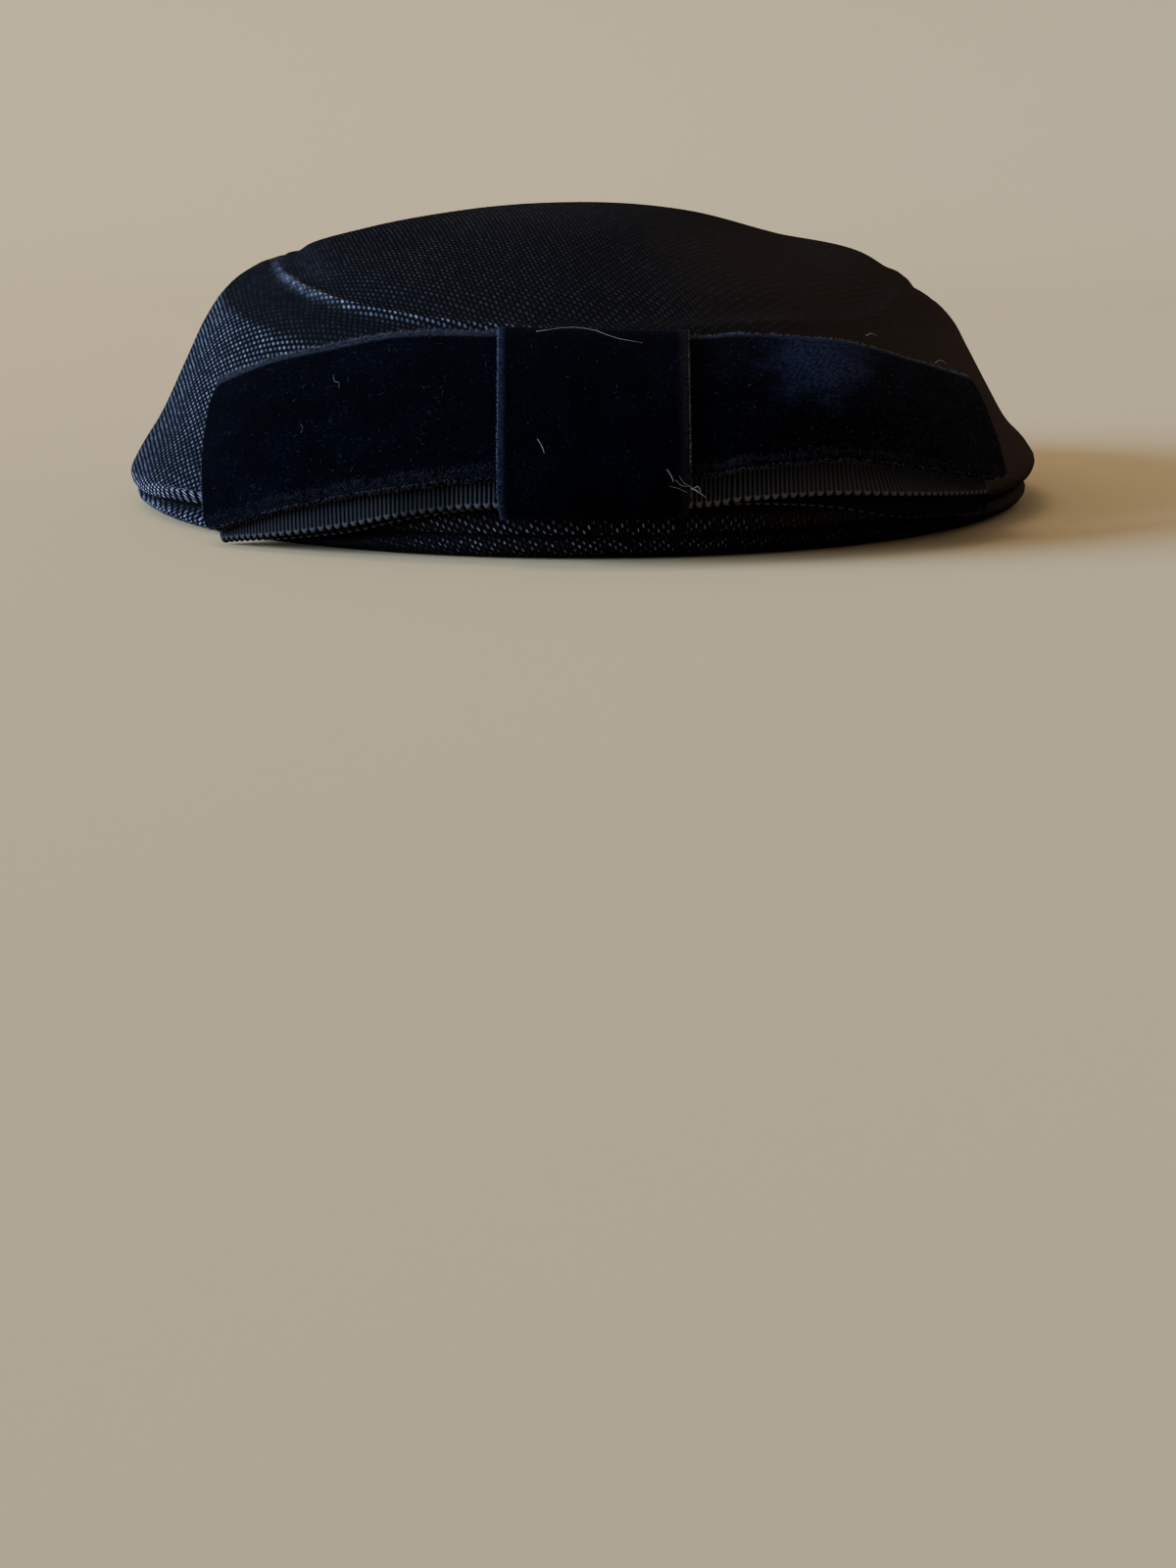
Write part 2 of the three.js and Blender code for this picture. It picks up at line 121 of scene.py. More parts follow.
GROSGRAIN_FROM = 0.004      # shares of the bow's length between which it runs
GROSGRAIN_TO = 0.985
GROSGRAIN_LAYER = 175.0     # length of one layer
SHADED_RUN = 53.0           # where the velvet's lower edge shades it, along a layer
VELVET_DEPTH = 2 * VELVET_THICKNESS + CLEARANCE

# Middle line of the knot's band: distance down from the velvet's top edge, depth behind its face
KNOT = [
    # name, down, depth
    ("top", -1.2, 1.5),
    ("front_corner", -0.9, -0.5),
    ("front_top", 1.2, -1.0),
    ("front_high", 8, -1.0),
    ("front_middle", 20, -1.0),
    ("front_low", 32, -1.0),
    ("front_hem", 40, -0.6),
    ("bottom", 43.0, 2.8),
    ("back_hem", 42.3, 6.2),
    ("back_low", 36, 8.0),
    ("back_middle", 20, 8.6),
    ("back_high", 9, 7.4),
    ("back_step", 4.8, 5.5),
    ("back_top", -0.4, 4.1),
]
# Shares of the bow's length between which it covers the bow
KNOT_FROM = 4.07 / LAST_STATION
KNOT_TO = 4.97 / LAST_STATION

# The elastic's route: it leaves the edge of the opening at both sides and lies round the back half
ELASTIC_DIAMETER = 1.8
ELASTIC_END = (81.25, -6.0, 2.5)
ELASTIC_LAY = (76.0, 83.0, 1.0)     # half width, depth and height of the arc in which it lies
ELASTIC_BEND = 5.0
BEND_STEPS = 4
ARC_STEPS = 9

# The camera of the photograph, from a point on the axis a little above the surface
ELEVATION = math.radians(7)
DISTANCE = 570
AIM_HEIGHT = 5
CAMERA_ASIDE = 1.6
PICTURE_HEIGHT = 1600       # in pixels
FOCAL_LENGTH = 2323         # in pixels
AIM_OFFSET = 319            # how far above the picture's middle that point shows, in pixels
PITCH = ELEVATION + math.atan(AIM_OFFSET / FOCAL_LENGTH)
SENSOR = 36
LENS = SENSOR * FOCAL_LENGTH / PICTURE_HEIGHT

low_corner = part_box("hat_body")[0] / MM
SHIFT = np.array([low_corner.x + BODY[ROW["rim_edge"]][1], low_corner.y + BODY[ROW["rim_edge"]][3], 0.0])


# Camera
camera_data = bpy.data.cameras.new("camera")
camera = bpy.data.objects.new("camera", camera_data)
bpy.context.scene.collection.objects.link(camera)
camera_data.sensor_width = SENSOR
camera_data.lens = LENS
camera_data.clip_start = 0.01
camera_place = SHIFT + [
    CAMERA_ASIDE, -DISTANCE * math.cos(ELEVATION), AIM_HEIGHT + DISTANCE * math.sin(ELEVATION),
]
camera.location = Vector(camera_place) * MM
camera.rotation_euler = (math.pi / 2 - PITCH, 0, 0)
bpy.context.scene.camera = camera


# Meshes
PIECES = []


def unit(vectors):
    return vectors / np.maximum(np.linalg.norm(vectors, axis=-1, keepdims=True), 1e-12)


def make_piece(name, points, faces, material, attributes=()):
    """A smooth-shaded mesh in metres from points in the hat's frame, riding on the only body."""
    mesh = bpy.data.meshes.new(name)
    mesh.from_pydata(((points + SHIFT) * MM).tolist(), [], faces)
    for key, values in dict(attributes).items():
        kind = "FLOAT_VECTOR" if values.ndim == 2 else "FLOAT"
        layer = mesh.attributes.new(key, kind, "POINT")
        layer.data.foreach_set("vector" if values.ndim == 2 else "value", values.astype(np.float32).ravel())
    mesh.shade_smooth()
    mesh.materials.append(material)
    piece = bpy.data.objects.new(name, mesh)
    bpy.context.scene.collection.objects.link(piece)
    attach(piece, "root")
    PIECES.append(piece)
    return piece


def grid_faces(rings, count, closed_rings=False):
    """Quads between neighbouring rings of count points. Every ring is closed round."""
    last = rings if closed_rings else rings - 1
    i, j = np.meshgrid(np.arange(last), np.arange(count), indexing="ij")
    here, after = i * count, (i + 1) % rings * count
    following = (j + 1) % count
    quads = np.stack([here + j, after + j, after + following, here + following], -1)
    return quads.reshape(-1, 4).tolist()


def hermite(knots, values, at, start_slope=None):
    """Smooth curve through the values of every column, with slopes from the neighbours on each side."""
    slopes = np.gradient(values, knots, axis=0)
    if start_slope is not None:
        slopes[0] = start_slope
    i = np.clip(np.searchsorted(knots, at, side="right") - 1, 0, len(knots) - 2)
    span = (knots[i + 1] - knots[i])[:, None]
    t = (at - knots[i])[:, None] / span
    return (
        (2 * t**3 - 3 * t**2 + 1) * values[i] + (t**3 - 2 * t**2 + t) * span * slopes[i]
        + (3 * t**2 - 2 * t**3) * values[i + 1] + (t**3 - t**2) * span * slopes[i + 1]
    )


def smoothstep(values, start, end):
    t = np.clip((values - start) / (end - start), 0, 1)
    return t * t * (3 - 2 * t)


def hump(values, middle, half_width):
    return np.exp(-(((values - middle) / half_width) ** 2))


def degrees_round(angles):
    """Angles round the hat in degrees, from -180 to 180."""
    return np.degrees((angles + np.pi) % (2 * np.pi) - np.pi)


# Nodes
class Nodes:
    """Adds nodes to one material. A socket given as an input is linked, and a number is set."""

    def __init__(self, name, **surface):
        self.material = bpy.data.materials.new(name)
        self.material.use_nodes = True
        self.tree = self.material.node_tree
        self.surface = self.tree.nodes["Principled BSDF"]
        for key, value in surface.items():
            self.surface.inputs[key.replace("_", " ")].default_value = value

    def set(self, socket, value):
        if isinstance(value, bpy.types.NodeSocket):
            self.tree.links.new(value, socket)
        else:
            socket.default_value = value

    def add(self, kind, *inputs, output=0, **settings):
        node = self.tree.nodes.new("ShaderNode" + kind)
        for key, value in settings.items():
            setattr(node, key, value)
        for socket, value in zip(node.inputs, inputs):
            if value is not None:
                self.set(socket, value)
        return node.outputs[output]

    def math(self, operation, *inputs):
        return self.add("Math", *inputs, operation=operation)

    def times(self, first, second):
        return self.math("MULTIPLY", first, second)

    def plus(self, first, second):
        return self.math("ADD", first, second)

    def minus(self, first, second):
        return self.math("SUBTRACT", first, second)

    def scaled(self, value, factor, addend):
        return self.math("MULTIPLY_ADD", value, factor, addend)

    def step(self, value, start, end, low=0.0, high=1.0):
        return self.add("MapRange", value, start, end, low, high, interpolation_type="SMOOTHSTEP")

    def mix(self, share, first, second, clamp=True):
        node = self.tree.nodes.new("ShaderNodeMix")
        node.data_type = "RGBA"
        node.clamp_factor = clamp
        for socket, value in zip((node.inputs[0], node.inputs[6], node.inputs[7]), (share, first, second)):
            self.set(socket, value)
        return node.outputs[2]

    def split(self, name):
        vector = self.add("Attribute", attribute_name=name, output=1)
        node = self.tree.nodes.new("ShaderNodeSeparateXYZ")
        self.set(node.inputs[0], vector)
        return vector, node.outputs[0], node.outputs[1], node.outputs[2]

    def vector(self, x, y, z=0.0):
        return self.add("CombineXYZ", x, y, z)

    def noise(self, vector, scale, detail=2.0, roughness=0.5):
        return self.add("TexNoise", vector, None, scale, detail, roughness)

    def bump(self, height, distance, strength=1.0):
        node = self.tree.nodes.new("ShaderNodeBump")
        node.inputs["Strength"].default_value = strength
        node.inputs["Distance"].default_value = distance * MM
        self.set(node.inputs["Height"], height)
        return node.outputs[0]

    def finish(self, color=None, roughness=None, normal=None):
        for key, value in (("Base Color", color), ("Roughness", roughness), ("Normal", normal)):
            if value is not None:
                self.set(self.surface.inputs[key], value)
        return self.material


WALE = 1.11                 # width of one lengthwise thread of the straw cloth
FLOAT_LENGTH = 1.92         # length of one float along it
FLOAT_SHIFT = 0.408         # how far each thread's floats are shifted against the last one's
FLOAT_SLANT = -0.3          # how many wales a float crosses over its length


def straw_material():
    """Woven cloth of flat satin strips: staggered floats in lengthwise wales, with painted light and painted
    glints.
    """
    n = Nodes("straw", Specular_IOR_Level=0.0)
    cloth, across, along, painted_light = n.split("cloth")
    waver = n.scaled(n.noise(cloth, 0.12), 0.5, -0.25)
    a = n.math("DIVIDE", n.plus(across, waver), WALE)
    wale = n.math("FLOOR", a)
    in_wale = n.minus(n.math("FRACT", a), 0.5)
    b = n.scaled(wale, FLOAT_SHIFT, n.math("DIVIDE", n.plus(along, waver), FLOAT_LENGTH))
    in_float = n.minus(n.math("FRACT", b), 0.5)
    chance = n.add("TexWhiteNoise", n.vector(wale, n.math("FLOOR", b)), noise_dimensions="3D")
    slanted = n.math("WRAP", n.scaled(in_float, FLOAT_SLANT, in_wale), 0.5, -0.5)
    width = n.math("POWER", n.math("COSINE", n.times(slanted, math.pi)), 1.4)
    ends = n.step(n.math("ABSOLUTE", in_float), 0.14, 0.45, 1.0, 0.0)
    relief = n.times(width, n.scaled(ends, 0.88, 0.12))
    _, glint, warm, soft = n.split("light_and_blur")
    crisp = n.minus(1.0, soft)
    strip = n.scaled(n.step(relief, 0.35, 0.95), crisp, n.times(soft, 0.36))
    clouds = n.step(n.noise(cloth, 0.05, 3.0), 0.2, 0.8, 0.75, 1.25)
    light = n.times(strip, n.scaled(n.math("POWER", chance, 1.5), 0.9, 0.35))
    # painted light and shade scale the floats' lightness
    light = n.times(n.times(light, clouds), painted_light)
    # painted glints on single floats along the rolled edge
    spark = n.times(n.step(relief, 0.8, 1.0), n.step(chance, 0.1, 0.9))
    light = n.scaled(spark, glint, light)
    # painted warm light: the dark gaps turn lighter and browner on the right and at the top
    dark = n.mix(warm, (0.0050, 0.0050, 0.0064, 1), (0.0155, 0.0130, 0.0124, 1))
    # painted window light turns the lit floats bluer
    satin = n.mix(n.step(painted_light, 0.2, 0.6), (0.125, 0.125, 0.155, 1), (0.130, 0.138, 0.205, 1))
    color = n.mix(n.math("MINIMUM", light, 2.2), dark, satin, clamp=False)
    roughness = n.scaled(strip, -0.15, 0.75)
    depth = n.times(crisp, n.step(painted_light, 0.0, 0.2, 0.45, 1.0))
    normal = n.bump(n.times(relief, depth), 0.22, 1.0)
    return n.finish(color, roughness, normal)


def velvet_material(name, first_strip, last_strip, patch):
    """Dark grainy pile with a lighter strip along each edge, partly painted highlight, given as (width,
    color).

    The bow's ribbon also has a crushed patch, given as (run, distance down, half sizes).
    """
    n = Nodes(
        name, Roughness=0.95, Specular_IOR_Level=0.02, Sheen_Weight=0.02, Sheen_Roughness=0.35,
        Sheen_Tint=(0.35, 0.45, 0.85, 1),
    )
    pile, along, from_first, from_last = n.split("ribbon")
    fine = n.noise(pile, 1.15, 3.0, 0.75)
    cloudy = n.step(n.noise(pile, 0.09, 2.0), 0.35, 0.7)
    color = n.mix(cloudy, (0.0001, 0.0002, 0.0012, 1), (0.0003, 0.0006, 0.0026, 1))
    grain = n.step(fine, 0.55, 0.68)
    grainy = n.times(grain, n.scaled(cloudy, 0.7, 0.3))
    color = n.mix(grainy, color, (0.0058, 0.0066, 0.0150, 1))
    broken = n.step(fine, 0.36, 0.62)
    # edge strips: partly the edge's own lighter tone, partly painted highlight
    for distance, (width, strip_color) in ((from_first, first_strip), (from_last, last_strip)):
        ragged = n.plus(distance, n.scaled(fine, 3 * width, -1.5 * width))
        share = n.times(n.step(ragged, width, 0.3 * width), n.scaled(broken, 0.8, 0.2))
        # painted shade: the strips dim beyond a run of 105 to 130
        share = n.times(share, n.step(along, 105, 130, 1.0, 0.45))
        color = n.mix(share, color, (*strip_color, 1))
    if patch:
        run, down, half_run, half_down = patch
        x = n.math("DIVIDE", n.minus(along, run), half_run)
        y = n.math("DIVIDE", n.minus(from_first, down), half_down)
        away = n.math("SQRT", n.plus(n.times(x, x), n.times(y, y)))
        away = n.plus(away, n.scaled(n.noise(pile, 0.2, 2.0), 1.0, -0.5))
        slanted = n.vector(n.plus(along, from_first), n.times(n.minus(along, from_first), 0.35))
        nap = n.times(n.step(n.noise(slanted, 1.5, 2.0), 0.36, 0.66), n.step(fine, 0.30, 0.66, 0.35, 1.0))
        nap = n.scaled(nap, 0.85, 0.15)
        color = n.mix(n.times(n.step(away, 1.15, 0.25), nap), color, (0.014, 0.021, 0.060, 1))
        beyond = n.times(n.step(along, run - 30, run), n.times(grain, 0.9))
        color = n.mix(beyond, color, (0.0052, 0.0085, 0.0210, 1))
    return n.finish(color, None, n.bump(fine, 0.35, 0.8))


def grosgrain_material():
    """Ribbed ribbon with painted light: painted highlight on the ribs, painted shade in the grooves."""
    n = Nodes("grosgrain", Specular_IOR_Level=0.05)
    _, along, down, relief = n.split("ribbon")
    fibres = n.noise(n.vector(n.times(along, 9.0), n.times(down, 0.8)), 1.0, 2.0)
    light = n.mix(fibres, (0.020, 0.020, 0.026, 1), (0.040, 0.040, 0.052, 1))
    # painted highlight on the beads along the woven edge
    light = n.mix(n.step(relief, 1.0, 1.8), light, (0.060, 0.060, 0.070, 1))
    # painted light and shade along each layer: darker at the left end, lighter towards the right
    run = n.math("PINGPONG", along, GROSGRAIN_LAYER)
    level = n.step(run, 30, 165, 0.58, 1.5)
    # painted shadow of the velvet's lower edge
    shaded = n.step(n.math("ABSOLUTE", n.minus(run, SHADED_RUN)), 4, 9, 0.45, 1.0)
    level = n.times(level, shaded)
    # towards the right end the ribs' painted light flattens to an even tone
    smooth = n.step(run, 100, 145, 0.0, 0.65)
    ribs = n.scaled(n.step(relief, 0.58, 1.0), n.minus(1.0, smooth), n.times(smooth, 0.4))
    # painted shade in the grooves, on the inner faces and in the right fold, where the relief is low
    share = n.times(n.times(ribs, n.step(relief, -0.6, -0.05)), level)
    color = n.mix(share, (0.0004, 0.0004, 0.0007, 1), light, clamp=False)
    return n.finish(color, 0.7, n.bump(fibres, 0.05, 0.5))


def fibre_material(name, color):
    """Loose fibres, each part a little lighter or darker."""
    n = Nodes(name, Roughness=0.8, Specular_IOR_Level=0.05)
    share = n.noise(n.add("TexCoord", output=3), 900.0, 1.0)
    return n.finish(n.mix(share, (*[0.5 * c for c in color], 1), (*[1.5 * c for c in color], 1)))


def elastic_material():
    """Braided cover: strands cross both ways round the cord."""
    n = Nodes("elastic", Specular_IOR_Level=0.3, Roughness=0.7)
    _, along, around, _ = n.split("cord")
    one = n.math("SINE", n.plus(n.times(along, 4.0), n.times(around, 4.0)))
    other = n.math("SINE", n.minus(n.times(along, 4.0), n.times(around, 4.0)))
    height = n.times(one, other)
    color = n.mix(n.step(height, -0.2, 0.6), (0.003, 0.003, 0.004, 1), (0.014, 0.014, 0.018, 1))
    return n.finish(color, None, n.bump(height, 0.15))


def plain_material(name, color, roughness):
    n = Nodes(name, Base_Color=(*color, 1), Roughness=roughness, Specular_IOR_Level=0.2)
    grain = n.noise(n.add("TexCoord", output=3), 40.0, 4.0)
    return n.finish(None, None, n.bump(grain, 0.2, 0.05))


straw = straw_material()
velvet = velvet_material(
    "velvet", (1.2, (0.024, 0.027, 0.042)), (0.5, (0.0045, 0.0045, 0.0080)), (138, 9, 14, 14),
)
knot_velvet = velvet_material(
    "knot_velvet", (1.2, (0.010, 0.0115, 0.0265)), (2.0, (0.0095, 0.0085, 0.0100)), None,
)
grosgrain = grosgrain_material()
elastic = elastic_material()
pile_fibre = fibre_material("pile_fibre", (0.060, 0.063, 0.090))
hem_fibre = fibre_material("hem_fibre", (0.019, 0.020, 0.031))
pale_fibre = fibre_material("pale_fibre", (0.16, 0.155, 0.145))
lint_fibre = fibre_material("lint_fibre", (0.027, 0.031, 0.045))


# Elastic
def elastic_route():
    half_width, depth, lay = ELASTIC_LAY
    end_x, end_y, end_z = ELASTIC_END
    right = [(end_x, end_y, end_z)]
    for step in range(1, BEND_STEPS + 1):
        turn = math.pi / 2 * step / BEND_STEPS
        sunk = min(1, step / (BEND_STEPS - 1))
        right.append((
            half_width + ELASTIC_BEND - ELASTIC_BEND * math.sin(turn),
            end_y + ELASTIC_BEND * (1 - math.cos(turn)),
            end_z + (lay - end_z) * sunk,
        ))
    for step in range(1, ARC_STEPS + 1):
        turn = math.pi / 2 * step / ARC_STEPS
        right.append((half_width * math.cos(turn), depth * math.sin(turn), lay))
    left = [(-x, y, z) for x, y, z in reversed(right[:-1])]
    return np.array(right + left)


def head_elastic(steps=420, sides=16):
    route = elastic_route()
    chords = np.linalg.norm(np.diff(route, axis=0), axis=1) ** 0.5
    knots = np.concatenate([[0], np.cumsum(chords)])
    fine = hermite(knots, route, np.linspace(0, knots[-1], 4 * steps))
    run = np.concatenate([[0], np.cumsum(np.linalg.norm(np.diff(fine, axis=0), axis=1))])
    at = np.linspace(0, run[-1], steps)
    line = np.stack([np.interp(at, run, fine[:, k]) for k in range(3)], -1)
    tangent = unit(np.gradient(line, axis=0))
    level = unit(np.cross(tangent, [0, 0, 1]))
    up = np.cross(level, tangent)
    turn = np.linspace(0, 2 * np.pi, sides, endpoint=False)
    radius = ELASTIC_DIAMETER / 2
    rings = line[:, None] + radius * (
        level[:, None] * np.cos(turn)[None, :, None] + up[:, None] * np.sin(turn)[None, :, None]
    )
    faces = grid_faces(steps, sides)
    faces.append(list(range(sides)))
    faces.append(list(range((steps - 1) * sides, steps * sides))[::-1])
    places = np.stack(np.broadcast_arrays(at[:, None], turn[None], 0.0), -1).reshape(-1, 3)
    piece = make_piece("elastic_cord", rings.reshape(-1, 3), faces, elastic, {"cord": places})
    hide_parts("head_elastic")


# Straw body
def section_points(columns, angles):
    """Points of every section at every angle."""
    left, right, front, back, z_left, z_right, z_front, z_back = (columns[:, [k]] for k in range(8))
    side, ahead = np.sin(angles)[None], np.cos(angles)[None]
    x = np.where(side < 0, left, right) * side
    y = -np.where(ahead > 0, front, back) * ahead
    z_side = z_left + (z_right - z_left) * (1 + side) / 2
    fall = np.where(ahead > 0, FRONT_FALL, BACK_FALL)
    share = (ahead**2 + SIDE_SOFTNESS**2) ** (fall / 2) - SIDE_SOFTNESS**fall
    return np.stack([x, y, z_side + (np.where(ahead > 0, z_front, z_back) - z_side) * share], -1)


def skin(rows, step, angles):
    """A smooth skin through the rows, with the distance from the top along it."""
    table = np.array([row[1:9] for row in rows], float)
    radius, height = table[:, :4].mean(1), table[:, 4:].mean(1)
    knots = np.concatenate([[0], np.cumsum(np.hypot(np.diff(radius), np.diff(height)))])
    start_slope = np.concatenate([table[1, :4] / knots[1], np.zeros(4)])
    spots = np.concatenate([
        np.linspace(a, b, max(2, math.ceil((b - a) / step)), endpoint=False)
        for a, b in zip(knots[:-1], knots[1:])
    ] + [[knots[-1]]])[1:]
    return section_points(hermite(knots, table, spots, start_slope), angles), spots, knots


def surface_normals(points):
    """Normals of a grid of rings that runs from the top down, pointing out."""
    around = np.roll(points, -1, 1) - np.roll(points, 1, 1)
    downwards = np.gradient(points, axis=0)
    return unit(np.cross(downwards, around))


def dent_depth(points):
    total = np.zeros(points.shape[:-1])
    for _, x, y, radius, depth in DENTS:
        total += depth * np.exp(-((points[..., 0] - x) ** 2 + (points[..., 1] - y) ** 2) / radius**2)
    return total


def pressed(points):
    give = smoothstep(points[..., 2], FIRM_BELOW, SOFT_ABOVE) * dent_depth(points)
    return points - give[..., None] * [0, 0, 1]


CLOTH_TURN = math.radians(-12.3)    # the threads lie askew to the hat
CLOTH_PULL = 0.3                    # blocking pulls the threads askew at the front right
WALL_STRETCH = 0.93                 # blocking stretches the cloth down the wall
CREST_BEAD = (0.3, 1.1)             # height and half width of the pressed crest
CREST_FILLS = ((1.1, 3.6, 3.0), (0.8, -3.2, 1.8))   # at the left: height, way past the crest, half width
# painted glints: rows along the rolled edge where single floats are painted lighter
GLINTS = (("rim_edge", 1.4), ("under_bulge", 0.4))  # rows of glints and how far past them they lie
MOUTH = (-67, -48, -34, -20)        # angles over which the mouth at the lower edge opens and closes


def cloth_places(spots, crest, angles, painted_light=0.0):
    """Where each point was on the flat cloth, its way from the top in its direction, and its painted light.
    """
    flat = np.minimum(spots, crest) + np.maximum(spots - crest, 0) * WALL_STRETCH
    turned = angles + CLOTH_TURN
    x, y = flat[:, None] * np.sin(angles)[None], -flat[:, None] * np.cos(angles)[None]
    pulled = CLOTH_PULL * smoothstep(x, -32, 30) * 25 * np.tanh((y + 66) / 25)
    return np.stack(np.broadcast_arrays(
        flat[:, None] * np.sin(turned)[None] + pulled, flat[:, None] * np.cos(turned)[None], painted_light,
    ), -1)


def softened(points, spots, crest, angles, reach=3):
    """The crest is crisp at the front left and flattens out all round: rings near it move to a mean."""
    mean = points.copy()
    for _ in range(reach):
        mean[1:-1] = (mean[:-2] + 2 * mean[1:-1] + mean[2:]) / 4
    around = degrees_round(angles)
    crisp = smoothstep(around, -84, -62) * smoothstep(-around, -15, 25)
    share = hump(spots, crest, 7)[:, None] * (1 - 0.9 * crisp)[None]
    return points + share[..., None] * (mean - points)


def opened_mouth(points, angles):
    """Towards the bow's left end the turned-under edge stands off from the wall, with a mouth between."""
    around = degrees_round(angles)
    opens, wide, narrow, closes = MOUTH
    side = (smoothstep(around, opens, wide) * smoothstep(-around, -closes, -narrow))[None]
    side = side * smoothstep(np.hypot(points[..., 0], points[..., 1]), 95, 101)
    z = points[..., 2]
    inwards = 4.6 * hump(z, 4.7, 1.7)
    upwards = 2.0 * hump(z, 7.2, 1.4) - 1.3 * hump(z, 2.8, 1.0)
    outward = np.stack([np.sin(angles), -np.cos(angles), 0 * angles], -1)
    return points - (side * inwards)[..., None] * outward[None] + (side * upwards)[..., None] * [0, 0, 1]


def painted_light_places(spots, knots, angles):
    """Painted light and shade of the floats: most light on the crest and the lower edge at the left."""
    left = smoothstep(-np.sin(angles), -0.1, 0.75)[None]
    far_left = smoothstep(-np.sin(angles), 0.4, 0.85)[None]
    right = smoothstep(np.sin(angles), 0.0, 0.8)[None]
    front = smoothstep(np.cos(angles), 0.2, 0.7)[None]
    out = smoothstep(spots, 0, 60)[:, None]
    near = lambda name, shift, width: hump(spots - knots[ROW[name]], shift, width)[:, None]
    wall = smoothstep(spots, knots[ROW["shoulder_low"]] - 1.2, knots[ROW["shoulder_low"]] + 1.8)[:, None]
    wall_light_fading = 1 - 0.3 * smoothstep(spots, knots[ROW["wall_high"]], knots[ROW["rim_flare"]])[:, None]
    under = smoothstep(spots, knots[ROW["groove"]], knots[ROW["under_bulge"]])[:, None]
    # painted light on the left side and painted shade on the right
    plain = 0.105 + 0.06 * left - 0.05 * right * out
    # painted shade on the band between the crest and the shoulder, which faces up away from the light
    band = smoothstep(spots, knots[ROW["crest"]] + 1.5, knots[ROW["crest"]] + 3.5)[:, None] * (1 - wall)
    plain = plain * (1 - 0.4 * band)
    seen = 0.35 + 0.65 * smoothstep(np.cos(angles), 0.1, 0.45)[None]
    around = degrees_round(angles)
    crest_width = 1.3 - 0.55 * smoothstep(-around, 50, 75)
    on_crest = hump(spots[:, None] - knots[ROW["crest"]], 0.2, crest_width[None])
    # painted light on the crest, brighter towards the front, and down the left wall, fading lower down
    lit = left * (1.5 * on_crest * seen + 0.70 * wall * wall_light_fading)
    # painted light on the rolled edge and the under-roll at the far left
    lit = lit + far_left * (2.6 * near("rim_turn", -1.2, 1.6) + 1.4 * under)
    # painted shade in the mouth under the grosgrain's overhang
    mouth_shade = (smoothstep(around, -47, -41) * smoothstep(-around, 12, 22))[None]
    mouth_shade = 0.9 * mouth_shade * smoothstep(spots, knots[ROW["wall_middle"]], knots[ROW["wall_low"]])[:, None]
    # painted shade on the front wall behind the bow and in the groove
    return (plain * (1 - 0.6 * front * wall) + lit) * (1 - 0.97 * near("groove", 0.2, 1.9)) * (1 - mouth_shade)


def light_and_blur_places(spots, knots, angles):
    """Painted glints of single floats along the rolled edge, painted warm light, and where the cloth is
    blurred.
    """
    front = smoothstep(np.cos(angles), 0.45, 0.85)[None]
    rows = [hump(spots - knots[ROW[name]], shift, 1.6) for name, shift in GLINTS]
    around = degrees_round(angles)
    facing = (1 - 0.75 * smoothstep(np.abs(around), 7, 24)) * smoothstep(around, -26, -13)
    # painted glints, brightest where the rolled edge faces the front
    glint = 1.8 * sum(rows)[:, None] * front * facing[None]
    right = smoothstep(np.sin(angles), 0.0, 0.8)[None]
    below = smoothstep(spots, knots[ROW["rim_edge"]], knots[ROW["groove"]])[:, None]
    above = 1 - below * (1 - 0.7 * smoothstep(np.sin(angles), 0.78, 0.95)[None])
    # painted warm light on the right side, weaker below the rolled edge
    painted_warm = right * smoothstep(spots, 0, 60)[:, None] * above
    painted_warm = painted_warm * (0.75 + 0.25 * smoothstep(spots, 80, 100)[:, None])
    # painted warm light on the top
    top = 0.4 * (1 - smoothstep(spots, 15, 55))[:, None]
    blurred = 0.85 * smoothstep(-spots[:, None] * np.sin(angles)[None], 50, 82)
    blurred = blurred * (1 - smoothstep(spots, knots[ROW["crest"]] + 3, knots[ROW["shoulder_low"]]))[:, None]
    return np.stack(np.broadcast_arrays(glint, np.maximum(painted_warm, top), blurred), -1)


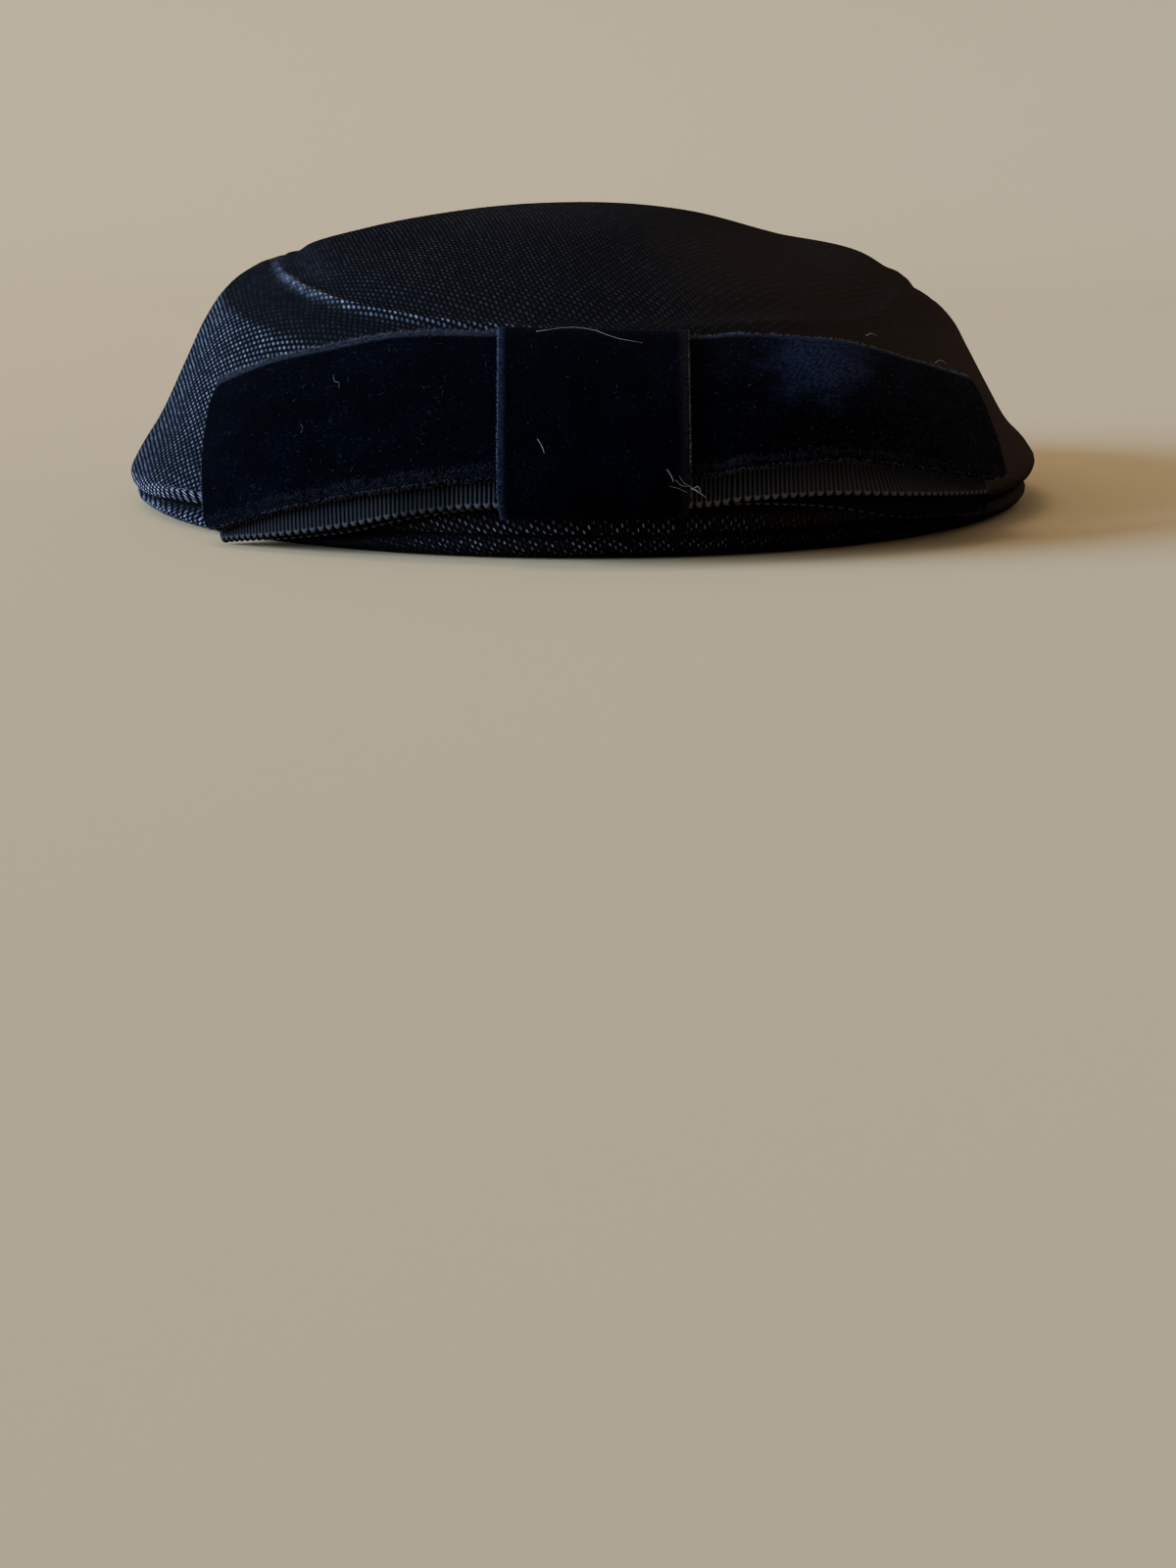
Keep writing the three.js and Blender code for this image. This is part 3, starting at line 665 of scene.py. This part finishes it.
def hat_body():
    angles = np.linspace(0, 2 * np.pi, HAT_SEGMENTS, endpoint=False)
    outer, spots, knots = skin(BODY, OUTER_STEP, angles)
    crest = knots[ROW["crest"]]
    outer = softened(outer, spots, crest, angles)
    normals = surface_normals(outer)
    bead_height, bead_width = CREST_BEAD
    left_front = 0.4 + 0.6 * smoothstep(np.cos(angles), -0.1, 0.4)
    left_front = smoothstep(-np.sin(angles), -0.3, 0.5) * left_front
    bead = bead_height * hump(spots, crest, bead_width)[:, None] * left_front[None]
    around = degrees_round(angles)
    fill = sum(height * hump(spots - crest, shift, width) for height, shift, width in CREST_FILLS)
    fill = fill[:, None] * (smoothstep(around, -115, -95) * smoothstep(-around, 60, 78))[None]
    outer = pressed(outer + (bead + fill)[..., None] * normals)
    outer = opened_mouth(outer, angles)
    painted_light = painted_light_places(spots, knots, angles)
    followed = [row for row in BODY if row[9]]
    inner, inner_spots, _ = skin(followed, INNER_STEP, angles)
    inner = opened_mouth(pressed(inner - STRAW_THICKNESS * surface_normals(inner)), angles)
    top = BODY[0][5]
    points = np.concatenate([
        [[0, 0, top]], outer.reshape(-1, 3), inner[::-1].reshape(-1, 3), [[0, 0, top - STRAW_THICKNESS]],
    ])
    places = np.concatenate([
        [[0, 0, 0]], cloth_places(spots, crest, angles, painted_light).reshape(-1, 3),
        cloth_places(inner_spots, crest, angles)[::-1].reshape(-1, 3), [[0, 0, 0]],
    ])
    light_and_blur = np.concatenate([
        [[0, 0, 0]], light_and_blur_places(spots, knots, angles).reshape(-1, 3), 0 * inner.reshape(-1, 3), [[0, 0, 0]],
    ])
    rings = len(outer) + len(inner)
    faces = (np.array(grid_faces(rings, HAT_SEGMENTS)) + 1).tolist()
    last = 1 + (rings - 1) * HAT_SEGMENTS
    for i in range(HAT_SEGMENTS):
        following = (i + 1) % HAT_SEGMENTS
        faces.append([0, 1 + i, 1 + following])
        faces.append([len(points) - 1, last + following, last + i])
    piece = make_piece("straw_body", points, faces, straw, {"cloth": places, "light_and_blur": light_and_blur})
    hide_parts("hat_body")


# Bow
def column_at(column, shares):
    """Smooth values of one column at shares of the way along the bow."""
    values = BOW_COLUMNS[:, column]
    place = np.asarray(shares) * LAST_STATION
    i = np.clip(np.floor(place).astype(int), 0, LAST_STATION - 1)
    t = place - i
    at = lambda k: values[np.clip(k, 0, LAST_STATION)]
    start_slope, end_slope = (at(i + 1) - at(i - 1)) / 2, (at(i + 2) - at(i)) / 2
    return (
        (2 * t**3 - 3 * t**2 + 1) * at(i) + (t**3 - 2 * t**2 + t) * start_slope
        + (3 * t**2 - 2 * t**3) * at(i + 1) + (t**3 - t**2) * end_slope
    )


def edge_at(column, shares):
    x, radius, z = (column_at(column + k, shares) for k in range(3))
    return np.stack([x, -np.sqrt(radius**2 - x**2), z], -1)


def edge_distances(shares):
    top, low, hem = (edge_at(column, shares) for column in (TOP, LOW, HEM))
    velvet_low = np.linalg.norm(low - top, axis=-1)
    return velvet_low, velvet_low + np.linalg.norm(hem - low, axis=-1)


def face_point(shares, down):
    """The outer face at shares of the bow's length and distances down, on a parabola."""
    top, low, hem = (edge_at(column, shares) for column in (TOP, LOW, HEM))
    a, b = edge_distances(shares)
    weights = (
        (down - a) * (down - b) / (a * b),
        down * (down - b) / (a * (a - b)),
        down * (down - a) / (b * (b - a)),
    )
    return sum(weight[..., None] * point for weight, point in zip(weights, (top, low, hem)))


def behind_face(shares, down, depth):
    step = 0.01
    shares, down, depth = np.broadcast_arrays(shares, down, depth)
    along = face_point(np.minimum(shares + step, 1), down) - face_point(np.maximum(shares - step, 0), down)
    across = face_point(shares, down + step) - face_point(shares, down - step)
    outward = unit(np.cross(across, along))
    return face_point(shares, down) - outward * depth[..., None]


def corner_inset(shares, radius, far_radius):
    """How far an edge draws in near the two folds to round the corners."""
    inset = 0
    for from_fold, r in ((shares * BOW_LENGTH, radius), ((1 - shares) * BOW_LENGTH, far_radius)):
        lacking = np.clip(r - from_fold, 0, r)
        inset = inset + r - np.sqrt(np.maximum(r**2 - lacking**2, 0))
    return inset


def velvet_at(shares, is_front, across):
    """Middle of the velvet at shares of the bow's length and of its own width."""
    spread = 0 if is_front else VELVET_THICKNESS + CLEARANCE + column_at(GAPE, shares)
    start = corner_inset(shares, *TOP_CORNERS)
    end = edge_distances(shares)[0] - corner_inset(shares, *LOW_CORNERS)
    return behind_face(shares, start + across * (end - start), VELVET_THICKNESS / 2 + spread)


def velvet_layer(shares, is_front, across):
    return velvet_at(shares[:, None], is_front, across[None])


def grosgrain_layer(shares, is_front, across):
    gape = column_at(GAPE, shares)
    spread = 0 if is_front else GROSGRAIN_THICKNESS + CLEARANCE + gape
    drop = 0 if is_front else column_at(DROP, shares)
    depth = VELVET_DEPTH + gape + CLEARANCE + GROSGRAIN_THICKNESS / 2 + spread
    hem = edge_distances(shares)[1] + drop
    down = GROSGRAIN_TOP + across[None] * (hem - GROSGRAIN_TOP)[:, None]
    return behind_face(shares[:, None], down, depth[:, None])


def even_shares(layer, is_front, start, end, step):
    """Shares of the bow's length that lie a set step apart along the middle of a layer."""
    shares = np.linspace(start, end, 400)
    line = layer(shares, is_front, np.array([0.5]))[:, 0]
    run = np.concatenate([[0], np.cumsum(np.linalg.norm(np.diff(line, axis=0), axis=1))])
    count = max(2, round(run[-1] / step))
    return np.interp(np.linspace(0, run[-1], count + 1), run, shares)


def fold(start, end, outward, steps):
    """Half a turn from one layer's end to the other's."""
    middle, half = (start + end) / 2, (start - end) / 2
    reach = np.linalg.norm(half, axis=-1, keepdims=True)
    turns = [np.pi * step / steps for step in range(1, steps)]
    return np.array([middle + half * math.cos(t) + outward * reach * math.sin(t) for t in turns])


def ribbon_sections(lines, thickness, rounding=5, relief=None, scallop=None, inside=0.0, shade=None):
    """Wraps a closed strip of lines in a section with round edges.

    Gives the points, the ring size and each point's place: run along, distance from the first edge, and
    distance from the last edge. With a relief, its shape takes the place of the last distance, less the
    shade of each line. The inner side has less of it too.
    """
    along = np.roll(lines, -1, 0) - np.roll(lines, 1, 0)
    across = unit(np.gradient(lines, axis=1))
    normal = unit(np.cross(across, along))
    middle = lines[:, lines.shape[1] // 2]
    run = np.concatenate([[0], np.cumsum(np.linalg.norm(np.diff(middle, axis=0), axis=1))])
    down = np.concatenate(
        [np.zeros((len(lines), 1)), np.cumsum(np.linalg.norm(np.diff(lines, axis=1), axis=-1), 1)], 1,
    )
    width = down[:, [-1]]
    half = np.full(down.shape, thickness / 2)
    third = width - down
    if relief is not None:
        raised = relief(run[:, None], np.minimum(down, width - down))
        half = half + raised[0]
        third = raised[1] if shade is None else raised[1] - shade[:, None]
    edge_shift = 0 if scallop is None else scallop(run)[:, None]
    outer = lines + normal * half[..., None]
    inner = lines - normal * half[..., None]
    turns = np.linspace(0, np.pi, rounding + 2)[1:-1]
    count = outer.shape[1]
    columns, places = [outer[:, k] for k in range(count)], [(down[:, k], third[:, k]) for k in range(count)]

    def edge(k, outward, order):
        for turn in order:
            reach = half[:, [k]] * math.sin(turn)
            columns.append(
                lines[:, k] + normal[:, k] * half[:, [k]] * math.cos(turn) + outward * (reach + edge_shift)
            )
            places.append((down[:, k], third[:, k]))

    edge(-1, across[:, -1], turns)
    for k in reversed(range(count)):
        columns.append(inner[:, k])
        places.append((down[:, k], third[:, k] - inside))
    edge(0, -across[:, 0], turns[::-1])
    points = np.stack(columns, 1)
    size = points.shape[1]
    spots = np.stack([np.stack([run, d, t], -1) for d, t in places], 1)
    return points.reshape(-1, 3), size, spots.reshape(-1, 3)


def ribbon_loop(name, node, layer, start, end, thickness, step, across, material, slot, fold_steps, **extras):
    front_shares = even_shares(layer, True, start, end, step)
    back_shares = even_shares(layer, False, start, end, step)[::-1]
    front, back = layer(front_shares, True, across), layer(back_shares, False, across)
    middle = len(across) // 2
    right_out = unit(front[-1, middle] - front[-2, middle])
    left_out = unit(front[0, middle] - front[1, middle])
    lines = np.concatenate([
        front, fold(front[-1], back[0], right_out, fold_steps),
        back, fold(back[-1], front[0], left_out, fold_steps),
    ])
    # painted shade on the fold behind the right end
    shade = np.zeros(len(lines))
    shade[len(front):len(front) + fold_steps - 1] = HIDDEN
    points, size, places = ribbon_sections(lines, thickness, shade=shade, **extras)
    faces = grid_faces(len(lines), size, closed_rings=True)
    piece = make_piece(name, points, faces, material, {"ribbon": places})
    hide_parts(node)


RIB_PAIR = 1.95             # length of ribbon that one pair of ribs takes
RIB_HEIGHT = 0.16
RIB_TURN = 0.55             # how far from the edge the two ribs of a pair start to join
SCALLOP = 0.35              # how far the woven edge draws in between two pairs
HIDDEN = 3.0                # taken from the relief's shape where the grosgrain is in deep shade


def rib_relief(run, from_edge):
    """Ribs in pairs that join in a round turn at both edges of the grosgrain."""
    across = (run / RIB_PAIR + 0.5) % 1 * RIB_PAIR - RIB_PAIR / 2
    rib = RIB_PAIR / 4
    radial = np.hypot(across, np.minimum(from_edge - RIB_TURN, 0))
    from_rib = np.abs(radial - rib) / rib
    shape = np.clip(1 - from_rib**2, 0, 1)
    return (shape - 0.5) * 2 * RIB_HEIGHT, shape * (1 + smoothstep(-from_edge, -0.75, -0.2))


def rib_scallop(run):
    across = (run / RIB_PAIR + 0.5) % 1 * 2 - 1
    return -SCALLOP * np.abs(across) ** 3


def bow():
    ribbon_loop(
        "velvet_ribbon", "velvet_bow", velvet_layer, 0, 1, VELVET_THICKNESS, 1.0, np.linspace(0, 1, 37),
        velvet, "velvet", 14,
    )
    edge = np.array([0, 0.007, 0.014, 0.021, 0.028, 0.036, 0.046, 0.06])
    middle = np.linspace(0.09, 0.91, 9)
    across = np.concatenate([edge, middle, 1 - edge[::-1]])
    ribbon_loop(
        "grosgrain_ribbon", "grosgrain_bow", grosgrain_layer, GROSGRAIN_FROM, GROSGRAIN_TO,
        GROSGRAIN_THICKNESS - 2 * RIB_HEIGHT, RIB_PAIR / 8, across, grosgrain, "grosgrain", 12,
        # painted shade on the grosgrain's inner faces
        rounding=3, relief=rib_relief, scallop=rib_scallop, inside=HIDDEN,
    )


def velvet_knot(steps_round=150, steps_across=44):
    path = np.array([row[1:] for row in KNOT] * 3, float)
    knots = np.concatenate([[0], np.cumsum(np.linalg.norm(np.diff(path, axis=0), axis=1) ** 0.5)])
    one = len(KNOT)
    at = np.linspace(knots[one], knots[2 * one], 8 * steps_round + 1)
    fine = hermite(knots, path, at)
    run = np.concatenate([[0], np.cumsum(np.linalg.norm(np.diff(fine, axis=0), axis=1))])
    even = np.linspace(0, run[-1], steps_round, endpoint=False)
    line = np.stack([np.interp(even, run, fine[:, k]) for k in range(2)], -1)
    shares = np.linspace(KNOT_FROM, KNOT_TO, steps_across + 1)
    lines = behind_face(shares[None], line[:, [0]], line[:, [1]])
    points, size, places = ribbon_sections(lines, VELVET_THICKNESS)
    piece = make_piece(
        "knot_band", points, grid_faces(len(lines), size, closed_rings=True), knot_velvet, {"ribbon": places},
    )
    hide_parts("velvet_knot")


# Loose fibres
NEEDLE_FACES = [[0, 2, 1], [0, 1, 4, 3], [1, 2, 5, 4], [2, 0, 3, 5], [3, 4, 6], [4, 5, 6], [5, 3, 6]]


def needles(roots, ways, lengths, width, curl, draws):
    """Thin closed needles, three-sided at the root and beyond the middle, that end in a point."""
    ways = unit(ways)
    side = unit(np.cross(ways, [0.31, 0.52, 0.79]))
    other = np.cross(ways, side)
    bend = unit(draws.normal(size=ways.shape)) * curl
    corners = []
    for share, radius in ((0, 0.5 * width), (0.6, 0.35 * width)):
        middle = roots + (ways * share + bend * share**2) * lengths[:, None]
        for turn in (0, 2 * np.pi / 3, 4 * np.pi / 3):
            corners.append(middle + (side * math.cos(turn) + other * math.sin(turn)) * radius)
    corners.append(roots + (ways + bend) * lengths[:, None])
    points = np.stack(corners, 1).reshape(-1, 3)
    faces = [[7 * i + k for k in face] for i in range(len(roots)) for face in NEEDLE_FACES]
    return points, faces


def fringe(edge, inside, normal, length, draws, lean=0.0):
    """Pile that sticks out of an edge: a root near each edge point, pointing away from the inside."""
    count = len(edge)
    outward, normal = unit(edge - inside), unit(normal)
    along = np.cross(normal, outward)
    depth = draws.uniform(-0.55, 0.55, count)[:, None]
    ways = outward + normal * (depth + draws.normal(0, 0.35, count)[:, None] + lean)
    ways = ways + along * draws.normal(0, 0.45, count)[:, None]
    lengths = length * draws.uniform(0.5, 1.25, count)
    return edge + outward * 0.35 + normal * depth, ways, lengths


def pile_fringe():
    """Fuzz along the edges and folds of the bow and of the knot."""
    draws = np.random.default_rng(7)
    rows = []

    def add_edge(point_at, shares, edge, inside, length, lean=0.0):
        along = 0.002
        here, there = point_at(shares, edge), point_at(shares, inside)
        run = point_at(np.clip(shares + along, 0, 1), edge) - point_at(np.clip(shares - along, 0, 1), edge)
        rows.append(fringe(here, there, np.cross(run, here - there), length, draws, lean))

    front = lambda shares, across: velvet_at(shares, True, across)
    back = lambda shares, across: velvet_at(shares, False, across)
    add_edge(front, draws.uniform(0.005, 0.5, 3200), 0.0, 0.03, 1.0, 0.3)
    add_edge(front, draws.uniform(0.5, 0.995, 1800), 0.0, 0.03, 0.6, 0.1)
    add_edge(front, draws.uniform(0.005, 0.995, 1200), 1.0, 0.97, 0.6)
    add_edge(back, draws.uniform(0.005, 0.995, 1200), 0.0, 0.03, 0.7)
    add_edge(back, draws.uniform(0.005, 0.995, 1200), 1.0, 0.97, 0.6)
    for end, inner in ((0.0, 0.02), (1.0, 0.98)):
        across = draws.uniform(0.06, 0.96, 900)
        edge, inside = (
            (velvet_at(np.full(900, share), True, across) + velvet_at(np.full(900, share), False, across)) / 2
            for share in (end, inner)
        )
        outward = unit(edge - inside)
        reach = VELVET_THICKNESS + CLEARANCE / 2
        facing = np.cross(outward, [0.0, 0.0, 1.0])
        turn = draws.uniform(-1.1, 1.1, 900)[:, None]
        ways = outward * np.cos(turn) + facing * np.sin(turn)
        rows.append((
            edge + ways * (reach - 0.3), ways + draws.normal(0, 0.3, (900, 3)), draws.uniform(0.4, 0.9, 900),
        ))
    line = np.array([row[1:] for row in KNOT[:8]], float)
    knots = np.concatenate([[0], np.cumsum(np.linalg.norm(np.diff(line, axis=0), axis=1))])
    for share, inner in ((KNOT_FROM, KNOT_FROM + 0.005), (KNOT_TO, KNOT_TO - 0.005)):
        at = draws.uniform(0, knots[-1], 1100)
        down, depth = (np.interp(at, knots, line[:, k]) for k in range(2))
        edge, inside = behind_face(share, down, depth), behind_face(inner, down, depth)
        normal = behind_face(share, down, depth - 0.5) - edge
        rows.append(fringe(edge, inside, normal, 0.5, draws))
    roots, ways, lengths = (np.concatenate([row[k] for row in rows]) for k in range(3))
    points, faces = needles(roots, ways, lengths, 0.15, 0.3, draws)
    piece = make_piece("pile_fringe", points, faces, pile_fibre)


def hem_fuzz():
    """Loose fibres along the woven edge, in a ragged line above the velvet's hem."""
    draws = np.random.default_rng(23)
    shares = draws.uniform(0.004, 0.996, 9000)
    tufted = np.sin(shares * 61) + np.sin(shares * 173 + 1) + np.sin(shares * 397 + 2)
    shares = shares[0.6 * tufted > draws.uniform(-2.4, 2.6, len(shares))]
    count = len(shares)
    low = edge_distances(shares)[0]
    above = np.abs(1.3 + 0.2 * np.sin(shares * 60) + draws.normal(0, 0.7, count))
    above = above * np.where(shares > 0.5, 0.75, 1.0)
    roots = behind_face(shares, low - above, np.full(count, 0.02))
    facing = unit(roots - behind_face(shares, low - above, np.full(count, 1.0)))
    ways = draws.normal(0, 1, (count, 3))
    ways = unit(ways - (ways * facing).sum(-1, keepdims=True) * facing)
    ways = ways + draws.uniform(0.1, 0.6, (count, 1)) * facing
    points, faces = needles(roots, ways, draws.uniform(0.2, 0.7, count), 0.10, 0.4, draws)
    piece = make_piece("hem_fuzz", points, faces, hem_fibre)


STRAY_SHARE = 0.6           # share of the thickness below that a fibre has
STRAY_FIBRES = [
    # thickness, then the points it passes
    (0.20, [
        (-9.0, -92.6, 44.9), (-1.0, -92.1, 45.7), (2.4, -92.6, 45.3), (7.1, -94.7, 43.8), (12.7, -95.5, 42.8),
    ]),
    (0.22, [(-8.4, -113.4, 25.3), (-7.5, -114.2, 24.0), (-7.0, -114.9, 22.6)]),
    (0.22, [(17.2, -115.6, 19.6), (18.0, -116.3, 18.4), (18.5, -116.4, 17.2)]),
    (0.26, [(21.9, -115.9, 16.0), (22.9, -117.0, 15.6), (24.9, -117.0, 14.2)]),
    (0.20, [(22.0, -115.9, 15.6), (23.4, -116.8, 16.3), (23.8, -116.8, 15.2)]),
    (0.10, [(18.9, -116.6, 17.6), (20.0, -117.0, 16.6), (21.6, -117.2, 16.4)]),
    (0.09, [(17.6, -116.6, 16.4), (19.4, -117.0, 16.0), (21.2, -117.2, 15.2)]),
    (0.09, [(19.6, -116.5, 18.4), (20.4, -116.9, 17.2), (22.2, -117.2, 16.2)]),
    (0.10, [(-51.0, -89.6, 35.9), (-50.7, -90.5, 34.7), (-49.6, -91.8, 34.4), (-49.7, -92.4, 33.4)]),
    (0.09, [(-57.5, -94.6, 26.4), (-57.0, -95.3, 25.5), (-57.4, -95.7, 24.6)]),
    (0.18, [(60.4, -76.2, 43.0), (61.4, -76.8, 43.5), (62.6, -76.2, 43.0)]),
    (0.18, [(76.0, -70.9, 36.9), (77.0, -71.0, 37.5), (78.6, -70.2, 36.6)]),
]


def stray_fibres(steps=10, sides=6):
    """Hairs and thread ends that lie on the ribbon, as thin closed tubes."""
    points, faces = [], []
    for thickness, path in STRAY_FIBRES:
        path = np.array(path)
        knots = np.concatenate([[0], np.cumsum(np.linalg.norm(np.diff(path, axis=0), axis=1))])
        line = hermite(knots, path, np.linspace(0, knots[-1], steps))
        tangent = unit(np.gradient(line, axis=0))
        side = unit(np.cross(tangent, [0.2, 0.9, 0.1]))
        other = np.cross(tangent, side)
        start = len(points)
        for i in range(steps):
            for k in range(sides):
                turn = 2 * np.pi * k / sides
                way = side[i] * math.cos(turn) + other[i] * math.sin(turn)
                points.append(line[i] + STRAY_SHARE * thickness / 2 * way)
        for face in grid_faces(steps, sides):
            faces.append([start + k for k in reversed(face)])
        faces.append([start + k for k in reversed(range(sides))])
        faces.append([start + (steps - 1) * sides + k for k in range(sides)])
    piece = make_piece("stray_fibres", np.array(points), faces, pale_fibre)


def lint():
    """Specks of lint on the velvet, seeded."""
    draws = np.random.default_rng(11)
    count = 420
    shares = draws.uniform(0.02, 0.98, count)
    down = draws.uniform(0.5, 34, count)
    lifted = (shares > KNOT_FROM) & (shares < KNOT_TO)
    roots = behind_face(shares, down, np.where(lifted, -1.62, -0.03))
    facing = unit(roots - behind_face(shares, down, np.full(count, 1.0)))
    ways = draws.normal(0, 1, (count, 3))
    ways = unit(ways - (ways * facing).sum(-1, keepdims=True) * facing) + 0.25 * facing
    lengths = draws.uniform(0.1, 1.0, count) ** 2 + 0.15
    points, faces = needles(roots, ways, lengths, 0.14, 0.5, draws)
    piece = make_piece("lint", points, faces, lint_fibre)


# Floor, backdrop and light
def sweep(width=16.0, front=-2.2, bend=0.95, radius=0.5, top=2.2, steps=24):
    """Floor that turns up into a wall behind the hat."""
    profile = [(front, 0.0), (bend, 0.0)]
    for step in range(1, steps + 1):
        turn = math.pi / 2 * step / steps
        profile.append((bend + radius * math.sin(turn), radius * (1 - math.cos(turn))))
    profile.append((bend + radius, top))
    points = [(x, y, z) for y, z in profile for x in (-width / 2, width / 2)]
    faces = [[2 * i, 2 * i + 1, 2 * i + 3, 2 * i + 2] for i in range(len(profile) - 1)]
    mesh = bpy.data.meshes.new("sweep")
    mesh.from_pydata(points, [], faces)
    mesh.shade_smooth()
    mesh.materials.append(plain_material("paper", (0.60, 0.47, 0.29), 0.9))
    floor = bpy.data.objects.new("sweep", mesh)
    bpy.context.scene.collection.objects.link(floor)
    return floor


def area_light(name, place, aim, size, power, color):
    data = bpy.data.lights.new(name, "AREA")
    data.shape = "RECTANGLE"
    data.size, data.size_y = size
    data.energy = power
    data.color = color
    light = bpy.data.objects.new(name, data)
    light.location = place
    light.rotation_euler = (Vector(aim) - Vector(place)).to_track_quat("-Z", "Y").to_euler()
    bpy.context.scene.collection.objects.link(light)
    return light


def sun_light(name, azimuth, elevation, strength, softness, color):
    data = bpy.data.lights.new(name, "SUN")
    data.energy = strength
    data.angle = math.radians(softness)
    data.color = color
    light = bpy.data.objects.new(name, data)
    light.rotation_euler = (math.radians(90 - elevation), 0, math.radians(azimuth))
    bpy.context.scene.collection.objects.link(light)


def lights(floor, pieces):
    sun_light("window", -78, 14, 9.0, 35, (0.56, 0.76, 1.0))
    bounce = area_light("bounce", (1.3, 0.2, 1.1), (0, 0, 0.03), (1.4, 1.0), 24, (1.0, 0.76, 0.58))
    paper_only, hat_only = (bpy.data.collections.new(name) for name in ("paper_only", "hat_only"))
    paper_only.objects.link(floor)
    for piece in pieces:
        hat_only.objects.link(piece)
    bounce.light_linking.receiver_collection = hat_only
    overhead = area_light("overhead", (0.0, -0.2, 2.0), (0.0, 0.1, 0), (2.4, 2.0), 0.6, (1.0, 0.84, 0.66))
    backdrop = area_light("backdrop", (-1.1, 0.1, 1.5), (-0.8, 1.45, 0.35), (2.0, 0.8), 17, (1.0, 0.78, 0.50))
    overhead.light_linking.receiver_collection = paper_only
    backdrop.light_linking.receiver_collection = paper_only
    world = bpy.data.worlds.new("room")
    world.use_nodes = True
    background = world.node_tree.nodes["Background"]
    background.inputs["Color"].default_value = (1.0, 0.90, 0.78, 1)
    background.inputs["Strength"].default_value = 0.3
    bpy.context.scene.world = world


head_elastic()
hat_body()
bow()
velvet_knot()
pile_fringe()
hem_fuzz()
stray_fibres()
lint()
lights(sweep(), PIECES)
